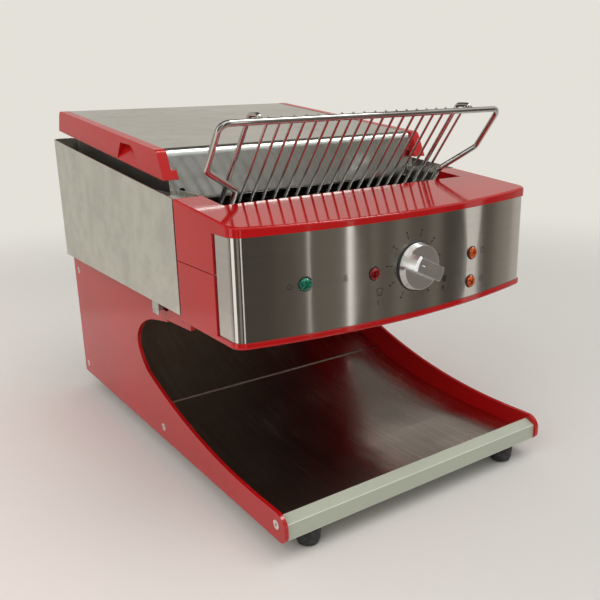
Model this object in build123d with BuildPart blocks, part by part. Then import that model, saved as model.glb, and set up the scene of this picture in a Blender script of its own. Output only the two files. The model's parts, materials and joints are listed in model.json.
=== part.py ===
"""Conveyor toaster for a service counter, in millimetres.

Bread slides down a wire rack at the front, falls through a slot on to a sloping wire belt, rides
between two banks of heating tubes, drops off the rear end and slides back down a curved chute to
the tray under the bowed control panel.

Frame: X to the right as seen from the front, Y to the rear, Z up. The origin is the middle of the
footprint, on the counter.
"""

import os
from math import asin, atan, cos, degrees, pi, radians, sin, sqrt, tan

from build123d import *

os.makedirs("parts", exist_ok=True)

# ---------------------------------------------------------------- driving dimensions
DEPTH = 536.0            # front tip to rear edge of the side panels
FRONT = -DEPTH / 2

PANEL_HALF = 171.0       # outer face of a side panel
PANEL_WALL = 4.2
INNER = PANEL_HALF - PANEL_WALL
PANEL_FLOOR = 20.6       # underside of the side panels
PAN_FLOOR = 22.7         # underside of the base pan and the front bar
SHEET = 1.2              # stainless sheet
PRESSED = 1.5            # painted sheet of hood and surround

SLOPE = 0.112            # rise of hood, lid and conveyor per unit of depth
TILT = degrees(atan(SLOPE))

HOOD_HALF = 184.0        # outer face of the hood cheeks
HOOD_REAR = -111.5
HOOD_CREST = 298.7       # hood top at the middle of the bow
LIP_BOTTOM = 292.2
CHEEK_SEAM = 254.7       # where the hood skirt meets the lower surround
CHEEK_FRONT = -186.4     # where the painted cheek ends and the steel fascia begins
SURROUND_FLOOR = 193.0
RIM_TOP = 199.0
BOW_FRONT = -244.5       # foremost line of the bow
BOW_RADIUS = 740.0
BOW_CENTRE = BOW_FRONT + BOW_RADIUS
BOW_CORNER = 14.0
SEAM_GAP = 0.8

SLOT_HALF = 153.3        # bread slot in the hood
SLOT_FRONT = -152.1
SLOT_FLANGE = 12.0

SHELL_HALF = 184.5
SHELL_FRONT = -110.0
SHELL_REAR = 257.0
SHELL_BOTTOM = 199.3
SHELL_TOP_FRONT = 313.8
SHELL_SLOPE = 0.108

LID_HALF = 163.5
LID_REAR = 246.0
LID_REAR_TOP = 388.7
LID_FRONT = -55.3        # bend line at the front of the lid
LID_FACE_BOTTOM = 303.0
TRIM_WIDTH = 11.0

PANEL_CREST = 236.0      # top of the side panels, hidden behind the outer shell
CHASSIS_UPPER = 155.4    # centre plane of the chassis walls above their jog
LID_SKIN = SHEET * (1 + sqrt(1 + SLOPE**2)) / 2    # lid sheet measured straight down

BELT_HALF = 130.0
BELT_PITCH = 15.0
BELT_TEETH = 8
BELT_SPAN = 17 * BELT_PITCH
BELT_ROD = 1.2
BELT_RADIUS = BELT_PITCH / (2 * sin(pi / BELT_TEETH))
DRIVE_Y, DRIVE_Z = -70.0, 246.0
SHAFT_RADIUS = 6.0

RACK_Y, RACK_Z = -188.0, 383.5   # centre of the rack's top rail
RACK_ROD = 3.0
RACK_WIRE = 1.5
RACK_WIRES = 19
RACK_PITCH = 13.4
RACK_END = 125.0         # bottom rail, down the slope from the top rail

CHAIN_PITCH = 8.0
CHAIN_TEETH = 16
MOTOR_TEETH = 8
CHAIN_LINKS = 30
CHAIN_X = 150.0

SCREW_RADIUS = 2.5
SCREW_HOLE = 2.75
SCREW_HEAD = 4.7

panel_screws = [(DEPTH - 14.4, 173.3), (DEPTH - 12.8, 34.1), (258.9, 35.6), (15.0, 35.1)]


# ---------------------------------------------------------------- shared geometry
def y_at(depth):
    """Place in the frame of a point that lies `depth` behind the front tip."""
    return FRONT + depth


def hood_top(y):
    """Height of the sloping hood surface."""
    return HOOD_CREST + SLOPE * (y - BOW_FRONT)


def lid_top(y):
    """Height of the sloping lid surface."""
    return LID_REAR_TOP - SLOPE * (LID_REAR - y)


def keep(piece, name):
    """Label a finished piece and write it."""
    piece.label = name
    export_step(piece, f"parts/{name}.step")


def folded_sheet(points, bend, thickness=SHEET, plane=Plane.YZ):
    """Section of a folded sheet whose middle follows the points."""
    with BuildSketch(plane) as section:
        with BuildLine():
            FilletPolyline(*points, radius=bend)
        trace(line_width=thickness)
    return section.sketch


def chorded(points, bends, chords=3):
    """Corners of a line with rounded bends, each bend cut into straight chords."""
    corners = [points[0]]
    for before, here, after, bend in zip(points, points[1:], points[2:], bends):
        here = Vector(*here)
        back, ahead = (Vector(*before) - here).normalized(), (Vector(*after) - here).normalized()
        half = radians(back.get_angle(ahead)) / 2
        middle = here + (back + ahead).normalized() * (bend / sin(half))
        start, end = (here + way * (bend / tan(half)) - middle for way in (back, ahead))
        turn = pi - 2 * half
        for step in range(chords + 1):
            share = turn * step / chords
            spot = middle + (start * sin(turn - share) + end * sin(share)) * (1 / sin(turn))
            corners.append((spot.X, spot.Y))
    return [*corners, points[-1]]


def bent_rod(plane, corners, radius, sides):
    """Rod of polygonal section round a circle of the radius, with flats along the plane it is bent in."""
    with BuildPart() as rod:
        with BuildLine(plane) as path:
            Polyline(*corners)
        with BuildSketch(Plane(origin=path.line @ 0, x_dir=plane.z_dir, z_dir=path.line % 0)):
            RegularPolygon(radius, side_count=sides, major_radius=False, rotation=180 / sides)
        sweep(transition=Transition.RIGHT)
    return rod.part


def side_shape(points, plane=Plane.YZ):
    """Closed outline through the points."""
    with BuildSketch(plane) as outline:
        with BuildLine():
            Polyline(*points, close=True)
        make_face()
    return outline.sketch


def bow_outline(inset, height, rear=HOOD_REAR):
    """Plan of the front: a shallow bow between rounded corners, with straight sides."""
    half = HOOD_HALF - inset
    shoulder = BOW_CENTRE - sqrt((BOW_RADIUS - inset) ** 2 - half**2)
    with BuildSketch(Plane.XY.offset(height)) as outline:
        with BuildLine():
            ThreePointArc((-half, shoulder), (0, BOW_FRONT + inset), (half, shoulder))
            Polyline((half, shoulder), (half, rear), (-half, rear), (-half, shoulder))
        make_face()
        fillet(outline.vertices().sort_by(Axis.Y)[:2], radius=BOW_CORNER - inset)
    return outline.sketch


def hood_plane(drop):
    """Plane parallel to the hood's top, `drop` below it."""
    return Plane(origin=(0, BOW_FRONT, HOOD_CREST - drop), z_dir=(0, -SLOPE, 1))


def panel_point(x, height, outset=0.0):
    """Plane square to the bowed fascia at a control, facing out."""
    turn = asin(x / BOW_RADIUS)
    reach = BOW_RADIUS - PRESSED + outset
    return Plane(
        origin=(reach * sin(turn), BOW_CENTRE - reach * cos(turn), height),
        x_dir=(cos(turn), sin(turn), 0),
        z_dir=(sin(turn), -cos(turn), 0),
    )


rack_side = Plane(origin=(0, RACK_Y, RACK_Z), x_dir=(0, 0.6, -0.8), z_dir=(1, 0, 0))
rack_face = Plane(origin=(0, RACK_Y, RACK_Z), x_dir=(1, 0, 0), z_dir=(0, 0.8, 0.6))
belt_side = Plane(
    origin=(0, DRIVE_Y, DRIVE_Z),
    x_dir=(0, cos(radians(TILT)), sin(radians(TILT))),
    z_dir=(1, 0, 0),
)

# ---------------------------------------------------------------- side panels
TRAY_LEVEL = 47.7        # top of the panel where the tray is shallowest
TRAY_LOW = 50.0
TRAY_ARC = 660.0
TRAY_SWEEP = 21.0
ARM_FRONT = 165.0
ARM_LEVEL = 178.2
TIP_TOP_RADIUS = 14.0
TIP_FOOT_RADIUS = 8.0
PANEL_PORT = (-43.0, 196.0)      # round wiring port beside the shell's bracket

with BuildPart() as side_panel_right:
    with BuildSketch(Plane.YZ.offset(INNER)) as panel_outline:
        with BuildLine():
            tip = Line((y_at(0), 34.0), (y_at(0), PANEL_FLOOR))
            foot = Line(tip @ 1, (y_at(DEPTH), PANEL_FLOOR))
            back = Polyline(
                foot @ 1, (y_at(DEPTH), SHELL_BOTTOM - 1), (y_at(DEPTH - 16), SHELL_BOTTOM - 1),
                (y_at(DEPTH - 16), PANEL_CREST),
                (y_at(ARM_FRONT), PANEL_CREST), (y_at(ARM_FRONT), ARM_LEVEL),
            )
            tray_edge = JernArc((y_at(TRAY_LOW), TRAY_LEVEL), (1, 0), TRAY_ARC, TRAY_SWEEP)
            Spline(
                tray_edge @ 1, (y_at(311), 112.9), (y_at(316), 126), (y_at(313.3), 136.5), (y_at(301), 150),
                (y_at(282), 160.3), (y_at(255), 167.8), (y_at(220), 174), (y_at(ARM_FRONT), ARM_LEVEL),
                tangents=(tray_edge % 1, (-1, 0.05)),
            )
            Polyline(tray_edge @ 0, (y_at(0), TRAY_LEVEL + 0.6), tip @ 0)
        make_face()
        fillet(panel_outline.vertices().sort_by(Axis.X)[0:3].sort_by(Axis.Y)[-1], TIP_TOP_RADIUS - 1)
        fillet(panel_outline.vertices().sort_by(Axis.Y)[0:2].sort_by(Axis.X)[0], TIP_FOOT_RADIUS)
    extrude(amount=PANEL_WALL)
    with Locations(Plane.YZ.offset(PANEL_HALF)):
        with Locations(*[(y_at(depth), height) for depth, height in panel_screws]):
            CounterSinkHole(radius=SCREW_HOLE, counter_sink_radius=SCREW_HEAD + 0.5, depth=PANEL_WALL)
        with Locations(PANEL_PORT):
            Hole(radius=11, depth=PANEL_WALL)
keep(side_panel_right.part, "side_panel_right")

with BuildPart() as side_panel_left:
    mirror(side_panel_right.part, about=Plane.YZ)
keep(side_panel_left.part, "side_panel_left")

# Countersunk screws: cone, shank and a hexagonal socket, on both sides.
with BuildPart() as side_screws:
    with BuildSketch(Plane.XY) as screw_half:
        with BuildLine():
            Polyline(
                (PANEL_HALF - 0.3, 0), (PANEL_HALF - 0.3, SCREW_HEAD), (PANEL_HALF - 2.9, SCREW_RADIUS),
                (PANEL_HALF - 14, SCREW_RADIUS), (PANEL_HALF - 14, 0), close=True,
            )
        make_face()
    revolve(axis=Axis.X)
    with BuildSketch(Plane.YZ.offset(PANEL_HALF - 0.3)):
        RegularPolygon(radius=1.5, side_count=6, major_radius=False)
    extrude(amount=-1.4, mode=Mode.SUBTRACT)
screw = side_screws.part
with BuildPart() as side_screws:
    with Locations(*[(0, y_at(depth), height) for depth, height in panel_screws]):
        add(screw)
    mirror(about=Plane.YZ)
keep(side_screws.part, "side_screws")

# ---------------------------------------------------------------- base
BAR_SECTION = [(3, PAN_FLOOR), (3, 38.7), (14.5, 43.3), (24, 31.5), (24, PAN_FLOOR)]
BAR_WALL = 2.5

with BuildPart() as front_bar:
    with BuildSketch(Plane.YZ) as bar_section:
        with BuildLine():
            Polyline(*[(y_at(depth), height) for depth, height in BAR_SECTION], close=True)
        make_face()
        fillet(bar_section.vertices().group_by(Axis.Y)[-1], radius=1.5)
        offset(amount=-BAR_WALL, kind=Kind.INTERSECTION, mode=Mode.SUBTRACT)
        with Locations((y_at(panel_screws[3][0]), panel_screws[3][1])):
            Circle(5.2)
            Circle(SCREW_HOLE, mode=Mode.SUBTRACT)
    extrude(amount=INNER, both=True)
keep(front_bar.part, "front_bar")

CHUTE_TOP = 28.5
CHUTE_FLAT_END = 100.0
CHUTE_ARC = 670.0
CHUTE_REACH = 286.0      # depth where the chute passes under the deflector
chute_turn = degrees(asin((CHUTE_REACH - CHUTE_FLAT_END) / CHUTE_ARC))

with BuildPart() as toast_chute:
    with BuildSketch(Plane.YZ):
        with BuildLine():
            flat = Line((y_at(24), CHUTE_TOP - SHEET / 2), (y_at(CHUTE_FLAT_END), CHUTE_TOP - SHEET / 2))
            JernArc(flat @ 1, flat % 1, CHUTE_ARC, chute_turn)
        trace(line_width=SHEET)
    extrude(amount=INNER, both=True)
keep(toast_chute.part, "toast_chute")

DEFLECTOR_ARC = 473.0
DEFLECTOR_TURN = 31.6
DEFLECTOR_CREST = 240.0
lap_height = CHUTE_TOP + CHUTE_ARC * (1 - cos(radians(chute_turn)))

with BuildPart() as rear_deflector:
    with BuildSketch(Plane.YZ):
        with BuildLine():
            heading = (cos(radians(chute_turn)), sin(radians(chute_turn)))
            sweep_arc = JernArc((y_at(280), lap_height - 0.9), heading, DEFLECTOR_ARC, DEFLECTOR_TURN)
            Line(sweep_arc @ 1, (y_at(510.4), 206))
            Line((y_at(510.4), 206), (y_at(510.4), DEFLECTOR_CREST))
        trace(line_width=SHEET)
    extrude(amount=INNER - 1.3, both=True)
keep(rear_deflector.part, "rear_deflector")

PAN_REAR = 512.6
PAN_FLANGE = 27.0
TAB_TOP = 42.0

with BuildPart() as base_pan:
    edge = INNER - SHEET / 2
    centre = PAN_FLOOR + SHEET / 2
    extrude(
        folded_sheet([(-edge, PAN_FLANGE), (-edge, centre), (edge, centre), (edge, PAN_FLANGE)], 1.5,
                     plane=Plane.XZ.offset(-y_at(24))),
        amount=-(PAN_REAR - 24),
    )
    with BuildSketch(Plane.YZ) as tab:
        with Locations((y_at(panel_screws[2][0]), (PAN_FLANGE + TAB_TOP) / 2 - 1)):
            RectangleRounded(24, TAB_TOP - PAN_FLANGE + 2, 3)
    extrude(amount=INNER, both=True)
    extrude(tab.sketch, amount=INNER - SHEET, both=True, mode=Mode.SUBTRACT)
    with Locations(Plane.YZ.offset(INNER)):
        with Locations((y_at(panel_screws[2][0]), panel_screws[2][1])):
            Hole(radius=SCREW_HOLE, depth=2 * INNER)
    with BuildSketch(Plane.XY.offset(PAN_FLOOR)):
        with Locations((0, y_at(440))):
            with GridLocations(18, 60, 13, 2):
                Rectangle(5, 40)
    extrude(amount=SHEET, mode=Mode.SUBTRACT)
keep(base_pan.part, "base_pan")

COVER_TOP = 197.0
COVER_FRONT = 513.0
COVER_REAR = 532.6
FAN_X, FAN_Z = 62.0, 118.0
FAN_SIZE = 80.0
GLAND_X, GLAND_Z = -118.0, 58.0
GLAND_RADIUS = 8.0

with BuildPart() as rear_lower_cover:
    with BuildSketch(Plane.XY.offset(PAN_FLOOR)):
        with Locations((0, y_at((COVER_FRONT + COVER_REAR) / 2))):
            Rectangle(2 * INNER, COVER_REAR - COVER_FRONT)
    extrude(amount=COVER_TOP - PAN_FLOOR)
    offset(amount=-SHEET, openings=rear_lower_cover.faces().sort_by(Axis.Y)[0])
    with Locations(Plane.YZ.offset(INNER)):
        with Locations(*[(y_at(depth), height) for depth, height in panel_screws[:2]]):
            Hole(radius=SCREW_HOLE, depth=2 * INNER)
    with BuildSketch(Plane.XZ.offset(-y_at(COVER_REAR))):
        with Locations((FAN_X, FAN_Z)):
            with GridLocations(0, 9, 1, 7):
                Rectangle(64, 4.5)
        with Locations((-70, FAN_Z + 20)):
            with GridLocations(0, 9, 1, 5):
                Rectangle(90, 4.5)
        with Locations((GLAND_X, GLAND_Z)):
            Circle(GLAND_RADIUS)
    extrude(amount=SHEET, mode=Mode.SUBTRACT)
keep(rear_lower_cover.part, "rear_lower_cover")

FOOT_X = 133.0
FOOT_Y = 248.2
FOOT_REAR_Y = 240.0
foot_profile = [(0, 0), (7, 0), (10.4, 1.8), (11.8, 6), (12.9, 18), (12.9, PAN_FLOOR), (0, PAN_FLOOR)]

with BuildPart() as foot:
    with BuildSketch(Plane.XZ):
        with BuildLine():
            Polyline(*foot_profile, close=True)
        make_face()
    revolve(axis=Axis.Z)

with BuildPart() as feet:
    with Locations((-FOOT_X, -FOOT_Y), (FOOT_X, -FOOT_Y), (-FOOT_X, FOOT_REAR_Y), (FOOT_X, FOOT_REAR_Y)):
        add(foot.part)
keep(feet.part, "feet")

# ---------------------------------------------------------------- chassis
CHASSIS_FRONT = 68.0
CHASSIS_REAR = 511.0
CHASSIS_JOG = 300.0
LEDGE_FRONT = HOOD_REAR + 0.7
LID_FACE_INSIDE = -45.0

with BuildPart() as chassis_right:
    edge = INNER - SHEET / 2
    extrude(
        folded_sheet(
            [(edge, 190), (edge, CHASSIS_JOG), (CHASSIS_UPPER, CHASSIS_JOG + 9), (CHASSIS_UPPER, 400)], 2,
            plane=Plane.XZ.offset(-y_at(CHASSIS_FRONT)),
        ),
        amount=-(CHASSIS_REAR - CHASSIS_FRONT),
    )
    floor_front = SURROUND_FLOOR + PRESSED
    extrude(
        side_shape([
            (y_at(CHASSIS_FRONT), floor_front), (HOOD_REAR, floor_front), (HOOD_REAR, 205.2),
            (y_at(CHASSIS_REAR), 205.2), (y_at(CHASSIS_REAR), lid_top(y_at(CHASSIS_REAR)) - LID_SKIN),
            (LID_FACE_INSIDE, lid_top(LID_FACE_INSIDE) - LID_SKIN), (LID_FACE_INSIDE, CHASSIS_JOG),
            (LID_FRONT - 10, CHASSIS_JOG), (LID_FRONT - 10, 306), (LEDGE_FRONT, 306), (LEDGE_FRONT, 300),
            (HOOD_REAR - 2, 300),
            (HOOD_REAR - 2, hood_top(HOOD_REAR - 2) - PRESSED - 8),
            (y_at(CHASSIS_FRONT), hood_top(y_at(CHASSIS_FRONT)) - PRESSED),
        ]),
        amount=200, mode=Mode.INTERSECT,
    )
    with Locations(belt_side.offset(200)):
        with Locations((0, 0), (BELT_SPAN, 0)):
            Hole(radius=9, depth=80)
keep(chassis_right.part, "chassis_right")

with BuildPart() as chassis_left:
    mirror(chassis_right.part, about=Plane.YZ)
keep(chassis_left.part, "chassis_left")

# Roof of the toast bay, under the conveyor; its rear edge is turned down over the deflector.
BAY_ROOF = 205.2
BAY_ROOF_REAR = 440.0

with BuildPart() as chassis_floor:
    extrude(
        folded_sheet(
            [(HOOD_REAR + 0.6, BAY_ROOF - 9), (HOOD_REAR + 0.6, BAY_ROOF - SHEET / 2),
             (y_at(BAY_ROOF_REAR), BAY_ROOF - SHEET / 2), (y_at(BAY_ROOF_REAR), BAY_ROOF - 9)], 2),
        amount=INNER, both=True,
    )
keep(chassis_floor.part, "chassis_floor")

with BuildPart() as rear_wall:
    jog_top = CHASSIS_JOG + 9
    wall_half = INNER - SHEET
    upper_half = CHASSIS_UPPER - SHEET / 2
    rear_top = lid_top(y_at(CHASSIS_REAR)) - LID_SKIN - 1.5    # under the bend of the lid
    extrude(
        side_shape([
            (-wall_half, DEFLECTOR_CREST - 30), (wall_half, DEFLECTOR_CREST - 30), (wall_half, CHASSIS_JOG - 1),
            (upper_half, jog_top), (upper_half, rear_top), (-upper_half, rear_top), (-upper_half, jog_top),
            (-wall_half, CHASSIS_JOG - 1),
        ], Plane.XZ.offset(-y_at(CHASSIS_REAR))),
        amount=-SHEET,
    )
keep(rear_wall.part, "rear_wall")

# Ledges that close the corners between the hood arms and the lid.
LEDGE_TOP = 309.0
with BuildPart() as side_ledges:
    extrude(
        folded_sheet([(CHASSIS_UPPER + 1.2, LEDGE_TOP + 6), (CHASSIS_UPPER + 1.2, LEDGE_TOP),
                      (SHELL_HALF - SHEET - 0.6, LEDGE_TOP), (SHELL_HALF - SHEET - 0.6, LEDGE_TOP - 14)], 1.5,
                     plane=Plane.XZ.offset(-SHELL_FRONT)),
        amount=-48,
    )
    mirror(about=Plane.YZ)
keep(side_ledges.part, "side_ledges")

# ---------------------------------------------------------------- outer shell
SHELL_CORNER = 8.0
shell_top_rear = SHELL_TOP_FRONT + SHELL_SLOPE * (SHELL_REAR - SHELL_FRONT)

with BuildPart() as outer_shell:
    wall = SHELL_HALF - SHEET / 2
    back = SHELL_REAR - SHEET / 2
    extrude(
        folded_sheet([(-wall, SHELL_FRONT), (-wall, back), (wall, back), (wall, SHELL_FRONT)], SHELL_CORNER,
                     plane=Plane.XY.offset(SHELL_BOTTOM)),
        amount=200,
    )
    extrude(
        side_shape([(SHELL_FRONT, SHELL_BOTTOM), (SHELL_REAR, SHELL_BOTTOM), (SHELL_REAR, shell_top_rear),
                    (SHELL_FRONT, SHELL_TOP_FRONT)]),
        amount=SHELL_HALF, both=True, mode=Mode.INTERSECT,
    )
keep(outer_shell.part, "outer_shell")

# Brackets that hold the shell off the side panels, and two that hold its rear wall. The front ones
# show as an angle below the shell and are seated on the panel above its edge.
ANGLE_FRONT, ANGLE_REAR = -53.5, -37.0
ANGLE_BOTTOM = 185.0
SEAT_BOTTOM = 203.0
SEAT_WIDTH = 12.0
CHANNEL_Y = 212.0

with BuildPart() as shell_brackets:
    shell_side = SHELL_HALF - SHEET * 1.5
    panel_side = PANEL_HALF + SHEET / 2
    angle = [(shell_side, ANGLE_FRONT), (shell_side, ANGLE_REAR), (PANEL_HALF, ANGLE_REAR)]
    seated = [*angle[:2], (panel_side, ANGLE_REAR), (panel_side, ANGLE_REAR + SEAT_WIDTH)]
    channel = [(shell_side, CHANNEL_Y - SEAT_WIDTH), (shell_side, CHANNEL_Y), (panel_side, CHANNEL_Y),
               (panel_side, CHANNEL_Y + SEAT_WIDTH)]
    for plan, bottom in ((angle, ANGLE_BOTTOM), (seated, SEAT_BOTTOM), (channel, SEAT_BOTTOM)):
        top = SEAT_BOTTOM if bottom == ANGLE_BOTTOM else PANEL_CREST
        extrude(folded_sheet(plan, 1, plane=Plane.XY.offset(bottom)), amount=top - bottom)
    mirror(about=Plane.YZ)
    rear_skin = SHELL_REAR - SHEET
    wall_back = y_at(CHASSIS_REAR) + SHEET
    for x in (-90, 90):
        extrude(
            folded_sheet([(x - 10, rear_skin), (x - 10, wall_back + 0.6), (x + 10, wall_back + 0.6),
                          (x + 10, rear_skin)], 1, plane=Plane.XY.offset(250)),
            amount=60,
        )
keep(shell_brackets.part, "shell_brackets")

# ---------------------------------------------------------------- lid
LID_BEND = 9.0
FACE_LEAN = 6.0
NOTCH_X = 150.5          # notches in the lower edge of the lid's face
NOTCH_RISE = 13.0
front_crest = lid_top(LID_FRONT)

with BuildPart() as lid_panel:
    skin = SHEET / 2
    extrude(
        folded_sheet([
            (LID_REAR, lid_top(LID_REAR) - 14), (LID_REAR, lid_top(LID_REAR) - skin),
            (LID_FRONT, front_crest - skin), (LID_FRONT - FACE_LEAN, LID_FACE_BOTTOM),
            (LID_FRONT - FACE_LEAN + 14, LID_FACE_BOTTOM + 1),
        ], [3, LID_BEND, 2]),
        amount=LID_HALF, both=True,
    )
    with BuildSketch(Plane.XZ.offset(-(LID_FRONT - FACE_LEAN + 4))):
        with Locations((-NOTCH_X, LID_FACE_BOTTOM), (NOTCH_X, LID_FACE_BOTTOM)):
            SlotOverall(2 * NOTCH_RISE, 8, rotation=90)
    extrude(amount=8, mode=Mode.SUBTRACT)
keep(lid_panel.part, "lid_panel")

# Moulded side trims with a finger scoop in the outer face.
TRIM_HALF = LID_HALF + TRIM_WIDTH
TRIM_LUG = 6.0
SCOOP_DEPTH = 9.0
trim_rear_top = (LID_REAR + 1.4, lid_top(LID_REAR + 1.4) + 0.3)
trim_rear_bottom = (LID_REAR + 11.5, 363.6)
trim_front_bottom = (-71.0, 326.0)
trim_front_top = (-57.6, lid_top(-57.6) + 0.3)

with BuildPart() as lid_trim_right:
    with BuildSketch(Plane.YZ.offset(LID_HALF)) as trim_outline:
        with BuildLine():
            Polyline(trim_rear_top, trim_rear_bottom, trim_front_bottom, trim_front_top, close=True)
        make_face()
        fillet(trim_outline.vertices().sort_by(Axis.X)[1], radius=6)
        fillet(trim_outline.vertices().sort_by(Axis.X)[-2], radius=9)
    extrude(amount=TRIM_WIDTH)
    extrude(
        side_shape([trim_front_bottom, (LID_REAR, 362.0), (LID_REAR, 368.5), (-66.8, 335.0)],
                   Plane.YZ.offset(LID_HALF - TRIM_LUG)),
        amount=TRIM_LUG,
    )
    extrude(
        side_shape([(LID_FRONT - FACE_LEAN - 2, 300), (LID_REAR - 16, 300), (LID_REAR - 16, 400),
                    (LID_FRONT - FACE_LEAN - 2, 400)], Plane.YZ.offset(LID_HALF - TRIM_LUG)),
        amount=TRIM_LUG, mode=Mode.SUBTRACT,
    )
    with BuildSketch(Plane.YZ.offset(TRIM_HALF)) as scoop_mouth:
        with BuildLine():
            ledge = Line((37, 358.4), (8, 356.6))
            curve = ThreePointArc(ledge @ 1, (-2.5, 347.8), (-7.5, 334.4))
            Polyline(curve @ 1, (49.5, 340.8), ledge @ 0)
        make_face()
    loft([scoop_mouth.sketch.faces()[0], Vertex(TRIM_HALF - SCOOP_DEPTH, 38.5, 356.5)], mode=Mode.SUBTRACT)
keep(lid_trim_right.part, "lid_trim_right")

with BuildPart() as lid_trim_left:
    mirror(lid_trim_right.part, about=Plane.YZ)
keep(lid_trim_left.part, "lid_trim_left")

# ---------------------------------------------------------------- hood, surround and fascia
EDGE_RADIUS = 2.5

with BuildPart() as front_hood:
    extrude(bow_outline(0, CHEEK_SEAM + SEAM_GAP / 2), amount=90)
    split(bisect_by=hood_plane(0), keep=Keep.BOTTOM)
    fillet(
        front_hood.faces().sort_by(Axis.Z)[-1].edges().filter_by(lambda e: e.center().Y < HOOD_REAR - 1),
        radius=EDGE_RADIUS,
    )
    with BuildPart(mode=Mode.PRIVATE) as hood_cavity:
        extrude(bow_outline(PRESSED, CHEEK_SEAM, HOOD_REAR + 1), amount=90)
        split(bisect_by=hood_plane(PRESSED), keep=Keep.BOTTOM)
    add(hood_cavity.part, mode=Mode.SUBTRACT)
    with BuildSketch(Plane.XY.offset(CHEEK_SEAM)):
        with Locations((0, CHEEK_FRONT - 100)):
            Rectangle(400, 200)
    extrude(amount=LIP_BOTTOM - CHEEK_SEAM, mode=Mode.SUBTRACT)
    with BuildPart(mode=Mode.PRIVATE) as slot_frame:
        with BuildSketch(Plane.XY.offset(hood_top(SLOT_FRONT) - SLOT_FLANGE)):
            with Locations((0, (SLOT_FRONT - PRESSED + HOOD_REAR) / 2)):
                Rectangle(2 * (SLOT_HALF + PRESSED), HOOD_REAR - SLOT_FRONT + PRESSED)
        extrude(amount=40)
        split(bisect_by=hood_plane(0), keep=Keep.BOTTOM)
    add(slot_frame.part)
    with BuildSketch(Plane.XY.offset(CHEEK_SEAM)):
        with Locations((0, (SLOT_FRONT + HOOD_REAR) / 2 + 5)):
            Rectangle(2 * SLOT_HALF, HOOD_REAR - SLOT_FRONT + 10)
    extrude(amount=90, mode=Mode.SUBTRACT)
keep(front_hood.part, "front_hood")

with BuildPart() as lower_surround:
    extrude(bow_outline(0, SURROUND_FLOOR), amount=CHEEK_SEAM - SEAM_GAP / 2 - SURROUND_FLOOR)
    fillet(
        lower_surround.faces().sort_by(Axis.Z)[0].edges().filter_by(lambda e: e.center().Y < HOOD_REAR - 1),
        radius=EDGE_RADIUS,
    )
    extrude(bow_outline(PRESSED, SURROUND_FLOOR + PRESSED, HOOD_REAR + 1), amount=90, mode=Mode.SUBTRACT)
    with BuildSketch(Plane.XY.offset(RIM_TOP)):
        with Locations((0, CHEEK_FRONT - 100)):
            Rectangle(400, 200)
    extrude(amount=90, mode=Mode.SUBTRACT)
keep(lower_surround.part, "lower_surround")

FASCIA_TOP = 296.5
KNOB_X, KNOB_Z = 3.0, 244.7
POWER_X, POWER_Z = -119.5, 245.5
LAMP_X, LAMP_Z = -47.6, 244.9
BREAD_X, BREAD_Z = 83.8, 245.0
BUN_X, BUN_Z = 82.5, 215.5
CONTROL_HOLE = 7.0
KNOB_SHAFT = 3.0

with BuildPart() as fascia_panel:
    extrude(bow_outline(PRESSED, SURROUND_FLOOR + PRESSED, CHEEK_FRONT + 8),
            amount=FASCIA_TOP - SURROUND_FLOOR - PRESSED)
    extrude(bow_outline(PRESSED + SHEET, SURROUND_FLOOR, CHEEK_FRONT + 9), amount=120, mode=Mode.SUBTRACT)
    for x, z in ((POWER_X, POWER_Z), (LAMP_X, LAMP_Z), (BREAD_X, BREAD_Z), (BUN_X, BUN_Z)):
        with Locations(panel_point(x, z, 10)):
            Hole(radius=CONTROL_HOLE, depth=20)
    with Locations(panel_point(KNOB_X, KNOB_Z, 10)):
        Hole(radius=KNOB_SHAFT + 1, depth=20)
keep(fascia_panel.part, "fascia_panel")

# ---------------------------------------------------------------- push-buttons and lamp
LENS_RADIUS = 5.8
LENS_SKIRT = 5.0
LENS_SIDES = 12
BARREL_SIDES = 16
BEZEL_RADIUS = 8.0
BEZEL_PROUD = 1.4
BORE_CLEARANCE = 0.35
BUTTON_TRAVEL = 2.5
STEM_RADIUS = 3.2
SWITCH_LENGTH = 30.0


def switch_housing(x, z):
    """Bezel ring, threaded barrel and square switch block, bored for the button."""
    bore = LENS_RADIUS + BORE_CLEARANCE
    with BuildPart() as housing:
        with BuildSketch(panel_point(x, z, 0.05)):
            RegularPolygon(BEZEL_RADIUS, side_count=BARREL_SIDES)
        extrude(amount=BEZEL_PROUD, taper=20)
        with BuildSketch(panel_point(x, z, 0.05)):
            RegularPolygon(CONTROL_HOLE - 0.05, side_count=BARREL_SIDES)
        extrude(amount=-12.1)
        with BuildSketch(panel_point(x, z, -12)):
            Rectangle(18, 16)
        extrude(amount=-(SWITCH_LENGTH - 12))
        with BuildSketch(panel_point(x, z, BEZEL_PROUD + 1)):
            RegularPolygon(bore, side_count=LENS_SIDES, major_radius=False)
        extrude(amount=-(LENS_SKIRT + BUTTON_TRAVEL + 1.5), mode=Mode.SUBTRACT)
        with BuildSketch(panel_point(x, z, 0)):
            RegularPolygon(STEM_RADIUS + BORE_CLEARANCE, side_count=LENS_SIDES, major_radius=False)
        extrude(amount=-20, mode=Mode.SUBTRACT)
        for offset_x in (-5, 5):
            with BuildSketch(panel_point(x, z, -SWITCH_LENGTH)) as blade:
                with Locations((offset_x, 0)):
                    Rectangle(0.8, 6.3)
            extrude(amount=-8)
    return housing.part


def lens_button(x, z, stem):
    """Faceted jewel lens on a stem."""
    with BuildPart() as button:
        with BuildSketch(panel_point(x, z, BEZEL_PROUD + 0.6)) as facets:
            RegularPolygon(LENS_RADIUS, side_count=LENS_SIDES)
        extrude(amount=2.6, taper=38)
        extrude(facets.sketch, amount=-LENS_SKIRT)
        with BuildSketch(panel_point(x, z, BEZEL_PROUD - 4)):
            RegularPolygon(STEM_RADIUS, side_count=LENS_SIDES)
        extrude(amount=-stem)
    return button.part


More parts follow.
